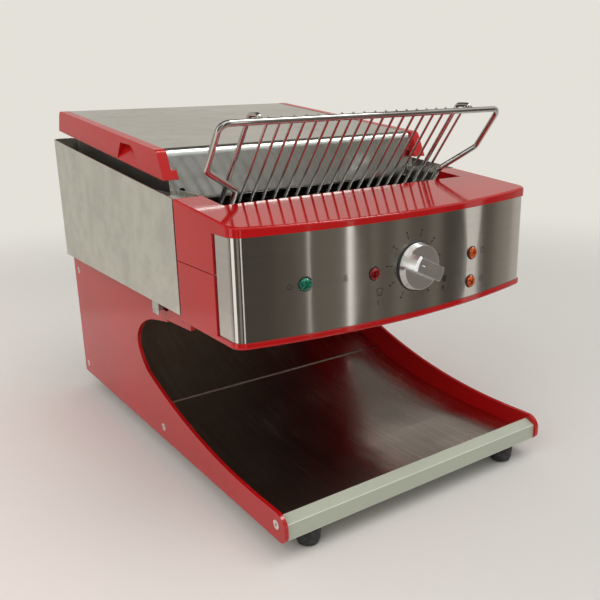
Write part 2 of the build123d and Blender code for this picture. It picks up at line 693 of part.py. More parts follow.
controls = {
    "power": (POWER_X, POWER_Z),
    "bread": (BREAD_X, BREAD_Z),
    "bun": (BUN_X, BUN_Z),
}
for name, (x, z) in controls.items():
    keep(switch_housing(x, z), f"{name}_switch")
    keep(lens_button(x, z, 12), f"{name}_button")
keep(switch_housing(LAMP_X, LAMP_Z), "lock_lamp_holder")
keep(lens_button(LAMP_X, LAMP_Z, 12), "lock_lamp")

# ---------------------------------------------------------------- speed control
KNOB_RADIUS = 23.3
KNOB_HEIGHT = 17.5
KNOB_STEP = 6.7
KNOB_TAPER = 15.0
KNOB_BEVEL = 0.9
GRIP_HALF = 7.0
KNOB_GAP = 1.5
KNOB_REST = -26.0        # grip turned clockwise of level at rest
SHAFT_CLEARANCE = 0.05

knob_base = panel_point(KNOB_X, KNOB_Z, KNOB_GAP)
with BuildPart() as speed_knob:
    drum = KNOB_HEIGHT - KNOB_BEVEL
    with BuildSketch(knob_base):
        Circle(KNOB_RADIUS)
    extrude(amount=drum, taper=KNOB_TAPER)
    with BuildSketch(knob_base.offset(drum)):
        Circle(KNOB_RADIUS - drum * tan(radians(KNOB_TAPER)))
    extrude(amount=KNOB_BEVEL, taper=45)
    with BuildSketch(knob_base.offset(KNOB_STEP)):
        with Locations(Location((0, 0, 0), (0, 0, KNOB_REST))):
            with Locations((0, KNOB_RADIUS), (0, -KNOB_RADIUS)):
                Rectangle(3 * KNOB_RADIUS, 2 * (KNOB_RADIUS - GRIP_HALF))
    extrude(amount=KNOB_HEIGHT, mode=Mode.SUBTRACT)
    with BuildSketch(knob_base):
        Circle(KNOB_SHAFT)
    extrude(amount=12, mode=Mode.SUBTRACT)
keep(speed_knob.part, "speed_knob")

with BuildPart() as knob_shaft:
    with BuildSketch(panel_point(KNOB_X, KNOB_Z, KNOB_GAP + 12)):
        Circle(KNOB_SHAFT)
    extrude(amount=-(KNOB_GAP + 12 + 14))
keep(knob_shaft.part, "knob_shaft")

with BuildPart() as speed_control:
    with BuildSketch(panel_point(KNOB_X, KNOB_Z, -PRESSED)):
        Circle(6)
    extrude(amount=-6)
    with BuildSketch(panel_point(KNOB_X, KNOB_Z, -6)):
        RectangleRounded(38, 34, 4)
    extrude(amount=-22)
    with BuildSketch(panel_point(KNOB_X, KNOB_Z, 0)):
        Circle(KNOB_SHAFT + SHAFT_CLEARANCE)
    extrude(amount=-18, mode=Mode.SUBTRACT)
keep(speed_control.part, "speed_control")

# ---------------------------------------------------------------- bread rack
RACK_WIDE = 170.8
RACK_NARROW = 132.0
JOG_TOP, JOG_BOTTOM = 52.0, 80.0
WIRE_RISE = RACK_ROD + RACK_WIRE    # the wires lie on the rails
GUIDE_ROD = 2.5
GUIDE_X = 129.5
GUIDE_RISE = 20.0

with BuildPart() as rack_wires:
    wire_start = rack_side.from_local_coords((-2.0, WIRE_RISE, 0))
    with BuildSketch(Plane(origin=wire_start, x_dir=(1, 0, 0), z_dir=(0, 0.6, -0.8))):
        with GridLocations(RACK_PITCH, 0, RACK_WIRES, 1):
            RegularPolygon(RACK_WIRE, side_count=6, major_radius=False)
    extrude(amount=RACK_END + 5.5)
keep(rack_wires.part, "rack_wires")


# Side guides: rods that stand on both rails, off the wires.
guide_path = chorded(
    [(0, RACK_ROD), (0, RACK_ROD + 6), (8, GUIDE_RISE), (RACK_END - 9, GUIDE_RISE), (RACK_END - 1, RACK_ROD + 6),
     (RACK_END - 1, RACK_ROD)], [3, 5, 5, 3], 2)
keep(bent_rod(rack_side.offset(-GUIDE_X), guide_path, GUIDE_ROD, 8), "guide_rod_left")
keep(bent_rod(rack_side.offset(GUIDE_X), guide_path, GUIDE_ROD, 8), "guide_rod_right")

with BuildPart() as rack_frame:
    add(bent_rod(
        rack_face,
        chorded([(0, RACK_END), (RACK_NARROW, RACK_END), (RACK_NARROW, JOG_BOTTOM), (RACK_WIDE, JOG_TOP),
                 (RACK_WIDE, 0), (0, 0)], [6, 6, 8, 9]),
        RACK_ROD, 8,
    ))
    mirror(about=Plane.YZ)
keep(rack_frame.part, "rack_frame")

# Sheet under the rack: it carries the bottom rail in a lip and leads crumbs to the belt.
FEED_DROP = RACK_ROD + 0.5 + SHEET / 2
FEED_LEDGE = 295.0
feed_start = (RACK_Z - FEED_LEDGE - 0.6 * FEED_DROP) / 0.8

with BuildPart() as feed_plate:
    ledge_front = rack_side.to_local_coords(Vector(0, SLOT_FRONT + 0.6, FEED_LEDGE))
    extrude(
        folded_sheet([
            (ledge_front.X, ledge_front.Y), (feed_start, -FEED_DROP), (RACK_END + RACK_ROD + 1, -FEED_DROP),
            (RACK_END + RACK_ROD + 1, 1.2),
        ], 1.5, plane=rack_side),
        amount=INNER - SHEET, both=True,
    )
keep(feed_plate.part, "feed_plate")

# ---------------------------------------------------------------- conveyor
TOOTH_TIP = BELT_RADIUS + 2.2
ROD_SEAT = BELT_ROD + 0.15
SPROCKET_X = [-100.0, 0.0, 100.0]
SPROCKET_WIDTH = 4.0
STRAND_X = [-127.0, -50.0, 50.0, 127.0]
SHAFT_FIT = 0.05
SHAFT_END = INNER + 2.0


def sprocket_outline(teeth, pitch_radius, tip_radius, seat_radius, bore, start, plane):
    """Disc with an eight-sided seat and a flared mouth between each pair of teeth."""
    with BuildSketch(plane) as outline:
        Circle(tip_radius)
        with PolarLocations(pitch_radius, teeth, start_angle=start):
            RegularPolygon(seat_radius, side_count=8, major_radius=False, mode=Mode.SUBTRACT)
            mouth = tip_radius - pitch_radius + 1
            Polygon(
                (0, -seat_radius), (mouth, -1.9 * seat_radius), (mouth, 1.9 * seat_radius), (0, seat_radius),
                align=None, mode=Mode.SUBTRACT,
            )
        Circle(bore, mode=Mode.SUBTRACT)
    return outline.sketch


def belt_rods():
    """Rod centres round the loop: along the belt, and square to it."""
    step = 360 / BELT_TEETH
    front = [90 + step * turn for turn in range(BELT_TEETH // 2 + 1)]
    rear = [-90 + step * turn for turn in range(BELT_TEETH // 2 + 1)]
    along = [BELT_PITCH * place for place in range(1, round(BELT_SPAN / BELT_PITCH))]
    rods = [(BELT_RADIUS * cos(radians(a)), BELT_RADIUS * sin(radians(a))) for a in front]
    rods += [(place, -BELT_RADIUS) for place in along]
    rods += [(BELT_SPAN + BELT_RADIUS * cos(radians(a)), BELT_RADIUS * sin(radians(a))) for a in rear]
    rods += [(place, BELT_RADIUS) for place in reversed(along)]
    return rods


def sprocket_set(along):
    """Three sprockets with hubs on one shaft."""
    with BuildPart() as sprockets:
        for x in SPROCKET_X:
            centre = belt_side.offset(x - SPROCKET_WIDTH / 2)
            shaft_plane = Plane(centre.from_local_coords((along, 0, 0)), x_dir=belt_side.x_dir,
                                z_dir=belt_side.z_dir)
            extrude(
                sprocket_outline(BELT_TEETH, BELT_RADIUS, TOOTH_TIP, ROD_SEAT, SHAFT_RADIUS, 90, shaft_plane),
                amount=SPROCKET_WIDTH,
            )
            with BuildSketch(shaft_plane.offset(SPROCKET_WIDTH)):
                RegularPolygon(10, side_count=12)
                Circle(SHAFT_RADIUS, mode=Mode.SUBTRACT)
            extrude(amount=8)
    return sprockets.part


def plain_shaft(along):
    """Round shaft across the machine."""
    with BuildPart() as shaft:
        with BuildSketch(belt_side.offset(-SHAFT_END)):
            with Locations((along, 0)):
                Circle(SHAFT_RADIUS)
        extrude(amount=2 * SHAFT_END)
    return shaft.part


with BuildPart() as conveyor_belt:
    with BuildSketch(belt_side.offset(-BELT_HALF)):
        with Locations(*belt_rods()):
            RegularPolygon(BELT_ROD, side_count=6)
    extrude(amount=2 * BELT_HALF)
    for x in STRAND_X:
        with BuildSketch(belt_side.offset(x - 1.2)) as strand:
            with BuildLine():
                Polyline(*belt_rods(), close=True)
            make_face()
            offset(amount=0.7, kind=Kind.INTERSECTION)
            with BuildLine():
                Polyline(*belt_rods(), close=True)
            inside = make_face(mode=Mode.PRIVATE)
            offset(inside, amount=-0.7, kind=Kind.INTERSECTION, mode=Mode.SUBTRACT)
        extrude(amount=2.4)
keep(conveyor_belt.part, "conveyor_belt")

keep(plain_shaft(0), "drive_shaft")
keep(sprocket_set(0), "drive_sprockets")
keep(plain_shaft(BELT_SPAN), "idler_shaft")
keep(sprocket_set(BELT_SPAN), "idler_sprockets")

# Flanged bushes in the chassis walls.
with BuildPart() as shaft_bushes:
    for along in (0, BELT_SPAN):
        bore_circle = SHAFT_RADIUS + SHAFT_FIT
        with BuildSketch(belt_side.offset(INNER - SHEET - 4)):
            with Locations((along, 0)):
                RegularPolygon(12, side_count=12)
                Circle(bore_circle, mode=Mode.SUBTRACT)
        extrude(amount=4)
        with BuildSketch(belt_side.offset(INNER - SHEET)):
            with Locations((along, 0)):
                Circle(9)
                Circle(bore_circle, mode=Mode.SUBTRACT)
        extrude(amount=SHEET + 1)
    mirror(about=Plane.YZ)
keep(shaft_bushes.part, "shaft_bushes")

# ---------------------------------------------------------------- drive chain and gear motor
ROLLER = 2.5
ROLLER_SEAT = ROLLER + 0.3
drive_ring = CHAIN_PITCH / (2 * sin(pi / CHAIN_TEETH))
motor_ring = CHAIN_PITCH / (2 * sin(pi / MOTOR_TEETH))
ring_step = drive_ring - motor_ring

# Shaft distance that closes the loop with a whole number of links.
chain_lean = 0.0
for _ in range(12):
    wrapped = (CHAIN_TEETH + MOTOR_TEETH) / 2 + (CHAIN_TEETH - MOTOR_TEETH) * chain_lean / pi
    straight_run = (CHAIN_LINKS - wrapped) / 2 * CHAIN_PITCH
    chain_centres = sqrt(straight_run**2 + ring_step**2)
    chain_lean = asin(ring_step / chain_centres)

CHAIN_RISE = radians(11.3)       # slope of the line from the motor up to the drive shaft
motor_y = DRIVE_Y - chain_centres * cos(CHAIN_RISE)
motor_z = DRIVE_Z - chain_centres * sin(CHAIN_RISE)
chain_side = Plane(
    origin=(0, motor_y, motor_z), x_dir=(0, cos(CHAIN_RISE), sin(CHAIN_RISE)), z_dir=(1, 0, 0)
)
lean_deg = degrees(chain_lean)
drive_wrap = (180 + 2 * lean_deg) * CHAIN_TEETH / 360
motor_wrap = (180 - 2 * lean_deg) * MOTOR_TEETH / 360
run_links = straight_run / CHAIN_PITCH
motor_entry = drive_wrap + run_links
first_motor_seat = 90 + lean_deg + (-motor_entry % 1) * 360 / MOTOR_TEETH


def on_ring(centre, radius, angle):
    """Point on a circle, in the plane of the chain."""
    return (centre + radius * cos(radians(angle)), radius * sin(radians(angle)))


def between(start, end, share):
    """Point part of the way from one point to another."""
    return tuple(a + (b - a) * share for a, b in zip(start, end))


def chain_point(links):
    """Place on the chain's loop, counted in links from the lower tangent of the drive sprocket."""
    upper = 90 + lean_deg
    if links < drive_wrap:
        return on_ring(chain_centres, drive_ring, -upper + links * 360 / CHAIN_TEETH)
    if links < motor_entry:
        return between(on_ring(chain_centres, drive_ring, upper), on_ring(0, motor_ring, upper),
                       (links - drive_wrap) / run_links)
    if links < motor_entry + motor_wrap:
        return on_ring(0, motor_ring, upper + (links - motor_entry) * 360 / MOTOR_TEETH)
    return between(on_ring(0, motor_ring, -upper), on_ring(chain_centres, drive_ring, -upper),
                   (links - motor_entry - motor_wrap) / run_links)


pins = [chain_point(link) for link in range(CHAIN_LINKS)]

with BuildPart() as drive_chain:
    with BuildSketch(chain_side.offset(CHAIN_X - 3.5)):
        with Locations(*pins):
            RegularPolygon(ROLLER, side_count=6)
    extrude(amount=7)
    for x in (CHAIN_X - 3.5, CHAIN_X + 2.5):
        with BuildSketch(chain_side.offset(x)) as plates:
            with BuildLine():
                Polyline(*pins, close=True)
            make_face()
            offset(amount=3.0, kind=Kind.INTERSECTION)
            with BuildLine():
                Polyline(*pins, close=True)
            inside = make_face(mode=Mode.PRIVATE)
            offset(inside, amount=-3.0, kind=Kind.INTERSECTION, mode=Mode.SUBTRACT)
        extrude(amount=1)
keep(drive_chain.part, "drive_chain")

CHAIN_DISC = 2.8
drive_centre = Plane(
    chain_side.offset(CHAIN_X - CHAIN_DISC / 2).from_local_coords((chain_centres, 0, 0)),
    x_dir=chain_side.x_dir, z_dir=chain_side.z_dir,
)

with BuildPart() as chain_sprocket:
    extrude(
        sprocket_outline(CHAIN_TEETH, drive_ring, drive_ring + 2.3, ROLLER_SEAT, SHAFT_RADIUS,
                         -90 - lean_deg, drive_centre),
        amount=CHAIN_DISC,
    )
    with BuildSketch(drive_centre):
        RegularPolygon(11, side_count=12)
        Circle(SHAFT_RADIUS, mode=Mode.SUBTRACT)
    extrude(amount=-8)
keep(chain_sprocket.part, "chain_sprocket")

MOTOR_SHAFT = 4.0
GEARBOX_FACE = 140.0
GEARBOX_LENGTH = 28.0
GEARBOX_SIZE = 54.0
MOTOR_LENGTH = 52.0
MOTOR_RADIUS = 24.0

with BuildPart() as motor_sprocket:
    extrude(
        sprocket_outline(MOTOR_TEETH, motor_ring, motor_ring + 2.0, ROLLER_SEAT, MOTOR_SHAFT,
                         first_motor_seat, chain_side.offset(CHAIN_X - CHAIN_DISC / 2)),
        amount=CHAIN_DISC,
    )
    with BuildSketch(chain_side.offset(CHAIN_X + CHAIN_DISC / 2)):
        RegularPolygon(6.5, side_count=12)
        Circle(MOTOR_SHAFT, mode=Mode.SUBTRACT)
    extrude(amount=5)
keep(motor_sprocket.part, "motor_sprocket")

with BuildPart() as motor_shaft:
    with BuildSketch(chain_side.offset(GEARBOX_FACE - 18)):
        Circle(MOTOR_SHAFT)
    extrude(amount=CHAIN_X + 8 - GEARBOX_FACE + 18)
keep(motor_shaft.part, "motor_shaft")

gearbox_side = Plane(origin=(GEARBOX_FACE, motor_y, motor_z), x_dir=(0, 1, 0), z_dir=(1, 0, 0))
with BuildPart() as gear_motor:
    with BuildSketch(gearbox_side):
        RectangleRounded(GEARBOX_SIZE, GEARBOX_SIZE, 5)
    extrude(amount=-GEARBOX_LENGTH)
    with BuildSketch(gearbox_side.offset(-GEARBOX_LENGTH)):
        Circle(MOTOR_RADIUS)
    extrude(amount=-MOTOR_LENGTH)
    chamfer(gear_motor.faces().sort_by(Axis.X)[0].edges(), length=2)
    with BuildSketch(gearbox_side):
        Circle(MOTOR_SHAFT + SHAFT_FIT)
    extrude(amount=-20, mode=Mode.SUBTRACT)
keep(gear_motor.part, "gear_motor")

# Folded bracket that lifts the gearbox off the floor of the surround.
with BuildPart() as motor_bracket:
    gearbox_under = motor_z - GEARBOX_SIZE / 2
    surround_top = SURROUND_FLOOR + PRESSED
    extrude(
        folded_sheet([
            (motor_y - 36, surround_top + 0.75), (motor_y - 22, surround_top + 0.75),
            (motor_y - 22, gearbox_under - 0.75), (motor_y + 16, gearbox_under - 0.75),
            (motor_y + 16, surround_top + 0.75), (motor_y + 24, surround_top + 0.75),
        ], 1.5, PRESSED, Plane.YZ.offset(GEARBOX_FACE - GEARBOX_LENGTH)),
        amount=GEARBOX_LENGTH,
    )
keep(motor_bracket.part, "motor_bracket")

# ---------------------------------------------------------------- heating
TUBE = 3.0               # flats of the six-sided heating tubes
UPPER_RISE = 66.0
LOWER_RISE = 7.0
TUBE_FIT = 0.05
HAIRPIN_GAP = 30.0
HAIRPIN_END = 132.0
TERMINAL_REACH = 150.0
upper_hairpins = [64.0, 122.0, 180.0, 238.0]
lower_hairpins = [58.0, 127.5, 197.0]
HANGER_X = [-116.5, 116.5]


def hairpins(starts, rise, leg_end):
    """Tubes bent back on themselves: both legs run across the machine to their terminals."""
    with BuildPart() as tubes:
        for middle in starts:
            seat = belt_side.from_local_coords((middle, rise, 0))
            plane = Plane(origin=seat, x_dir=(1, 0, 0), z_dir=(0, -SLOPE, 1))
            half = HAIRPIN_GAP / 2
            turn = [(-HAIRPIN_END, -half), (-HAIRPIN_END, half)]
            add(bent_rod(plane, chorded([(leg_end, -half), *turn, (leg_end, half)], [half - 0.5] * 2), TUBE, 6))
    return tubes.part


keep(hairpins(upper_hairpins, UPPER_RISE, TERMINAL_REACH), "upper_elements")
keep(hairpins(lower_hairpins, LOWER_RISE, TERMINAL_REACH), "lower_elements")

REFLECTOR_UPPER = 84.0
REFLECTOR_LOWER = -6.0
UPPER_SPAN = (38.0, 292.0)
LOWER_SPAN = (34.0, 221.0)


def reflector(rise, lip, span, half):
    """Polished tray between the chassis walls, its long edges folded."""
    front, rear = span
    with BuildPart() as tray:
        extrude(
            folded_sheet([(front, rise + lip), (front, rise), (rear, rise), (rear, rise + lip)], 2,
                         plane=belt_side),
            amount=half, both=True,
        )
    return tray.part


keep(reflector(REFLECTOR_UPPER, -8, UPPER_SPAN, CHASSIS_UPPER - SHEET / 2), "upper_reflector")
keep(reflector(REFLECTOR_LOWER, 5, LOWER_SPAN, INNER - SHEET), "lower_reflector")

# Perforated strips that carry the tubes: two hang from the upper reflector, two stand on the lower.
with BuildPart() as element_hangers:
    for starts, tube_rise, sheet_rise, span in (
        (upper_hairpins, UPPER_RISE, REFLECTOR_UPPER - SHEET / 2, UPPER_SPAN),
        (lower_hairpins, LOWER_RISE, REFLECTOR_LOWER + SHEET / 2, LOWER_SPAN),
    ):
        legs = [(middle + side * HAIRPIN_GAP / 2, tube_rise) for middle in starts for side in (-1, 1)]
        free_edge = tube_rise + (TUBE + 3) * (1 if tube_rise > sheet_rise else -1)
        with BuildSketch(belt_side) as strip:
            with Locations(((span[0] + span[1]) / 2, (free_edge + sheet_rise) / 2)):
                Rectangle(span[1] - span[0] - 8, abs(free_edge - sheet_rise))
            with Locations(*legs):
                RegularPolygon(TUBE + TUBE_FIT, side_count=6, major_radius=False, mode=Mode.SUBTRACT)
        for x in HANGER_X:
            extrude(strip.sketch.moved(Location((x, 0, 0))), amount=SHEET)
keep(element_hangers.part, "element_hangers")

# ---------------------------------------------------------------- cooling fan and wiring
FAN_DEPTH = 22.0
FAN_BLADES = 7
FAN_TIP = 35.0
FAN_HUB = 15.0
fan_back = Plane(origin=(FAN_X, y_at(COVER_REAR) - SHEET, FAN_Z), x_dir=(-1, 0, 0), z_dir=(0, -1, 0))

with BuildPart() as fan_frame:
    with BuildSketch(fan_back):
        RectangleRounded(FAN_SIZE, FAN_SIZE, 5)
        Circle(FAN_TIP + 2, mode=Mode.SUBTRACT)
    extrude(amount=FAN_DEPTH)
    with BuildSketch(fan_back):
        Circle(FAN_HUB)
        with PolarLocations(0, 4, start_angle=45):
            with Locations(((FAN_TIP + 3) / 2, 0)):
                Rectangle(FAN_TIP + 3, 4)
    extrude(amount=2.5)
    with BuildSketch(fan_back.offset(2.5)):
        Circle(3)
    extrude(amount=14)
    with BuildSketch(fan_back):
        with GridLocations(FAN_SIZE - 9, FAN_SIZE - 9, 2, 2):
            Circle(2.2)
    extrude(amount=FAN_DEPTH, mode=Mode.SUBTRACT)
keep(fan_frame.part, "fan_frame")

with BuildPart() as fan_rotor:
    with BuildSketch(fan_back.offset(3.5)):
        Circle(FAN_HUB)
    extrude(amount=16)
    root = Plane(
        fan_back.offset(11.5).from_local_coords((FAN_HUB - 1, 0, 0)),
        x_dir=fan_back.y_dir * 0.8 + fan_back.z_dir * 0.6, z_dir=fan_back.x_dir,
    )
    with BuildPart(mode=Mode.PRIVATE) as blade:
        with BuildSketch(root):
            Rectangle(20, 1.6)
        extrude(amount=FAN_TIP - FAN_HUB)
    for turn in range(FAN_BLADES):
        add(blade.part.rotate(Axis(fan_back.origin, fan_back.z_dir), turn * 360 / FAN_BLADES))
    with BuildSketch(fan_back.offset(3.5)):
        Circle(3 + SHAFT_FIT)
    extrude(amount=13.5, mode=Mode.SUBTRACT)
keep(fan_rotor.part, "fan_rotor")

with BuildPart() as cable_gland:
    gland_plane = Plane(origin=(GLAND_X, y_at(COVER_REAR), GLAND_Z), x_dir=(1, 0, 0), z_dir=(0, 1, 0))
    with BuildSketch(gland_plane):
        RegularPolygon(radius=9, side_count=6, major_radius=False)
        Circle(4.5, mode=Mode.SUBTRACT)
    extrude(amount=3)
    with BuildSketch(gland_plane):
        Circle(GLAND_RADIUS)
        Circle(4.5, mode=Mode.SUBTRACT)
    extrude(amount=-12)
    with BuildSketch(gland_plane.offset(-SHEET)):
        RegularPolygon(radius=10.5, side_count=6, major_radius=False)
        Circle(4.5, mode=Mode.SUBTRACT)
    extrude(amount=-5)
keep(cable_gland.part, "cable_gland")

TERMINAL_WAYS = 6
with BuildPart() as terminal_block:
    with BuildSketch(Plane.XY.offset(PAN_FLOOR + SHEET)):
        with Locations((-60, y_at(488))):
            Rectangle(10 * TERMINAL_WAYS + 4, 26)
    extrude(amount=18)
    with BuildSketch(Plane.XY.offset(PAN_FLOOR + SHEET + 18)):
        with Locations((-60, y_at(488))):
            with GridLocations(10, 14, TERMINAL_WAYS, 2):
                Rectangle(7, 9)
    extrude(amount=-8, mode=Mode.SUBTRACT)
keep(terminal_block.part, "terminal_block")

with BuildPart() as control_board:
    with BuildSketch(Plane.XY.offset(SURROUND_FLOOR + PRESSED + 4)):
        with Locations((-70, -175)):
            RectangleRounded(110, 60, 3)
    extrude(amount=1.6)
    with BuildSketch(Plane.XY.offset(SURROUND_FLOOR + PRESSED)):
        with Locations((-70, -175)):
            with GridLocations(98, 48, 2, 2):
                Circle(2.5)
    extrude(amount=4)
    with BuildSketch(Plane.XY.offset(SURROUND_FLOOR + PRESSED + 5.6)):
        with Locations((-100, -185)):
            Rectangle(28, 22)
        with Locations((-60, -185)):
            Rectangle(20, 16)
        with Locations((-50, -160)):
            Circle(6)
    extrude(amount=14)
keep(control_board.part, "control_board")
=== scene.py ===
"""Finish of a counter conveyor toaster: paint, brushed and polished steel, chrome wire, lenses and print.

Lengths are in metres in the frame of the solids: X to the right as seen from the front, Y to the rear, Z up.
New pieces are worked out in millimetres and scaled as they are made.
"""

import json
import math

import bpy
import numpy as np
from mathutils import Matrix, Vector


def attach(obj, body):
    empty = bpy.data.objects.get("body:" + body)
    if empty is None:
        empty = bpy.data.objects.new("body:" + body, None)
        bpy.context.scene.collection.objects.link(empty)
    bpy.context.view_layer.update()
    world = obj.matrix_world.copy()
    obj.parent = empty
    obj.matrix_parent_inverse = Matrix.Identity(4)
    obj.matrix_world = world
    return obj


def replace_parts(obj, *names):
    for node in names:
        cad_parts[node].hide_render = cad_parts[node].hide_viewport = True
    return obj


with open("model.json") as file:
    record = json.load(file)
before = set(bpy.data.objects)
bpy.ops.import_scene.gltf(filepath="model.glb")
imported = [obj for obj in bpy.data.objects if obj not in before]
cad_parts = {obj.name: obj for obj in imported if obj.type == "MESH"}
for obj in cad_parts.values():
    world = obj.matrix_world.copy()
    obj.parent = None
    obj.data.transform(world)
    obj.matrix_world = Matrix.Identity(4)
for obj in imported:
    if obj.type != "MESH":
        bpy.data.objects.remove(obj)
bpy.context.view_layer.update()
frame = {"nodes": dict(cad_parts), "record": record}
MM = 0.001


# ---------------------------------------------------------------- shader maths
class Value:
    """A shader socket that takes part in arithmetic: each operator adds its Math node."""

    def __init__(self, look, socket):
        self.look = look
        self.socket = socket

    def __add__(self, other):
        return self.look.maths("ADD", self, other)

    __radd__ = __add__

    def __sub__(self, other):
        return self.look.maths("SUBTRACT", self, other)

    def __rsub__(self, other):
        return self.look.maths("SUBTRACT", other, self)

    def __mul__(self, other):
        return self.look.maths("MULTIPLY", self, other)

    __rmul__ = __mul__

    def __truediv__(self, other):
        return self.look.maths("DIVIDE", self, other)

    def __rtruediv__(self, other):
        return self.look.maths("DIVIDE", other, self)

    def __gt__(self, other):
        return self.look.maths("GREATER_THAN", self, other)

    def __lt__(self, other):
        return self.look.maths("LESS_THAN", self, other)


class Look:
    """A material's node tree, or the world's."""

    MIX_FIRST, MIX_SECOND, MIX_RESULT = 6, 7, 2      # a Mix node's colour sockets, whose names others share

    def __init__(self, tree):
        tree.nodes.clear()
        self.tree = tree

    def node(self, kind, settings=None, sockets=None, output=0):
        """Add a node: its settings first, then the values or links of its sockets. Gives one of its outputs."""
        made = self.tree.nodes.new("ShaderNode" + kind)
        for name, value in (settings or {}).items():
            if name == "stops":
                ramp = made.color_ramp
                for place, (position, colour) in enumerate(value):
                    stop = ramp.elements[place] if place < 2 else ramp.elements.new(position)
                    stop.position = position
                    stop.color = (*colour, 1)
            else:
                setattr(made, name, value)
        for name, value in (sockets or {}).items():
            if isinstance(value, Value):
                self.tree.links.new(value.socket, made.inputs[name])
            elif made.inputs[name].type == "RGBA":
                made.inputs[name].default_value = (*value, 1)
            else:
                made.inputs[name].default_value = value
        return Value(self, made.outputs[output]) if made.outputs else None

    def maths(self, operation, *values):
        return self.node("Math", {"operation": operation}, dict(enumerate(values)))

    def place(self):
        """Object coordinates, in metres."""
        return self.node("TexCoord", output="Object")

    def stretched(self, scale, turn=(0, 0, 0)):
        """Object coordinates multiplied by a scale on each axis."""
        return self.node("Mapping", sockets={"Vector": self.place(), "Scale": scale, "Rotation": turn})

    def part(self, vector, axis):
        """One component of a vector."""
        return self.node("SeparateXYZ", sockets={"Vector": vector}, output=axis)

    def dot(self, first, second):
        """How far two unit vectors agree."""
        return self.node("VectorMath", {"operation": "DOT_PRODUCT"}, {0: first, 1: second}, output="Value")

    def noise(self, vector, scale=1, detail=2.0, rough=0.5):
        return self.node("TexNoise", sockets={"Vector": vector, "Scale": scale, "Detail": detail, "Roughness": rough})

    def cells(self, vector, scale, output="Distance"):
        return self.node("TexVoronoi", sockets={"Vector": vector, "Scale": scale}, output=output)

    def span(self, value, low, high, to_low=0.0, to_high=1.0, smooth=True):
        """Value carried from one range to another, held at its ends."""
        return self.node(
            "MapRange", {"interpolation_type": "SMOOTHSTEP" if smooth else "LINEAR", "clamp": True},
            {"Value": value, "From Min": low, "From Max": high, "To Min": to_low, "To Max": to_high},
        )

    def blend(self, share, first, second):
        """Colour between two colours."""
        sockets = {"Factor": share, self.MIX_FIRST: first, self.MIX_SECOND: second}
        return self.node("Mix", {"data_type": "RGBA"}, sockets, output=self.MIX_RESULT)

    def mixed(self, share, first, second):
        """Shader between two shaders."""
        return self.node("MixShader", sockets={0: share, 1: first, 2: second})

    def bump(self, height, distance, strength=1.0, normal=None):
        """Normal of a relief so many metres deep, on a normal or on the surface's own."""
        sockets = {"Height": height, "Distance": distance, "Strength": strength}
        if normal is not None:
            sockets["Normal"] = normal
        return self.node("Bump", sockets=sockets)

    def edges(self, radius):
        """Normal rounded over sharp edges within a radius."""
        return self.node("Bevel", {"samples": 6}, {"Radius": radius})

    def bend_at(self, radius):
        """One on flat ground, and less the more the surface turns within a radius, as on a ridge or a cut edge."""
        straight = self.node("NewGeometry", output="Normal")
        return self.dot(self.edges(radius), straight)

    def shade(self, **sockets):
        """Principled surface and its output."""
        named = {name.replace("_", " "): value for name, value in sockets.items()}
        surface = self.node("BsdfPrincipled", sockets=named)
        self.node("OutputMaterial", sockets={"Surface": surface})


def start(name):
    """New material, and the look that fills its node tree."""
    material = bpy.data.materials.new(name)
    material.use_nodes = True
    return material, Look(material.node_tree)


def toned(tint, share):
    """Colour multiplied by a share and held at one."""
    return tuple(min(1, channel * share) for channel in tint)


# ---------------------------------------------------------------- finishes
def red_paint():
    """Gloss stoved paint: a faint orange peel, slightly uneven in depth and gloss, with a little dust in it."""
    material, look = start("red_paint")
    tint, dusty = (0.45, 0.006, 0.007), (0.62, 0.16, 0.15)
    where = look.place()
    clouds = look.noise(where, 9, 3)
    peel = look.noise(where, 380, 2)
    dust = look.span(look.noise(where, 900, 1), 0.68, 0.76)
    colour = look.blend(look.span(clouds, 0.3, 0.7), toned(tint, 0.88), tint)
    look.shade(
        Base_Color=look.blend(dust * 0.08, colour, dusty),
        Roughness=0.045 + 0.05 * clouds,
        Normal=look.bump(peel, 0.00002, 0.25, look.edges(0.00025)),
        IOR=1.5,
    )
    return material


def moulded_red():
    """Gloss moulding: a little smoother and brighter than the paint."""
    material, look = start("moulded_red")
    where = look.place()
    clouds = look.noise(where, 30, 3)
    grain = look.noise(where, 700, 2)
    look.shade(
        Base_Color=look.blend(clouds, (0.44, 0.005, 0.006), (0.50, 0.006, 0.007)),
        Roughness=0.30 + 0.12 * clouds,
        Specular_IOR_Level=0.15,
        Normal=look.bump(grain, 0.00004, 0.5, look.edges(0.0014)),
        Coat_Weight=0.35 + 0.3 * clouds,
        Coat_Roughness=0.12,
        IOR=1.5,
    )
    return material


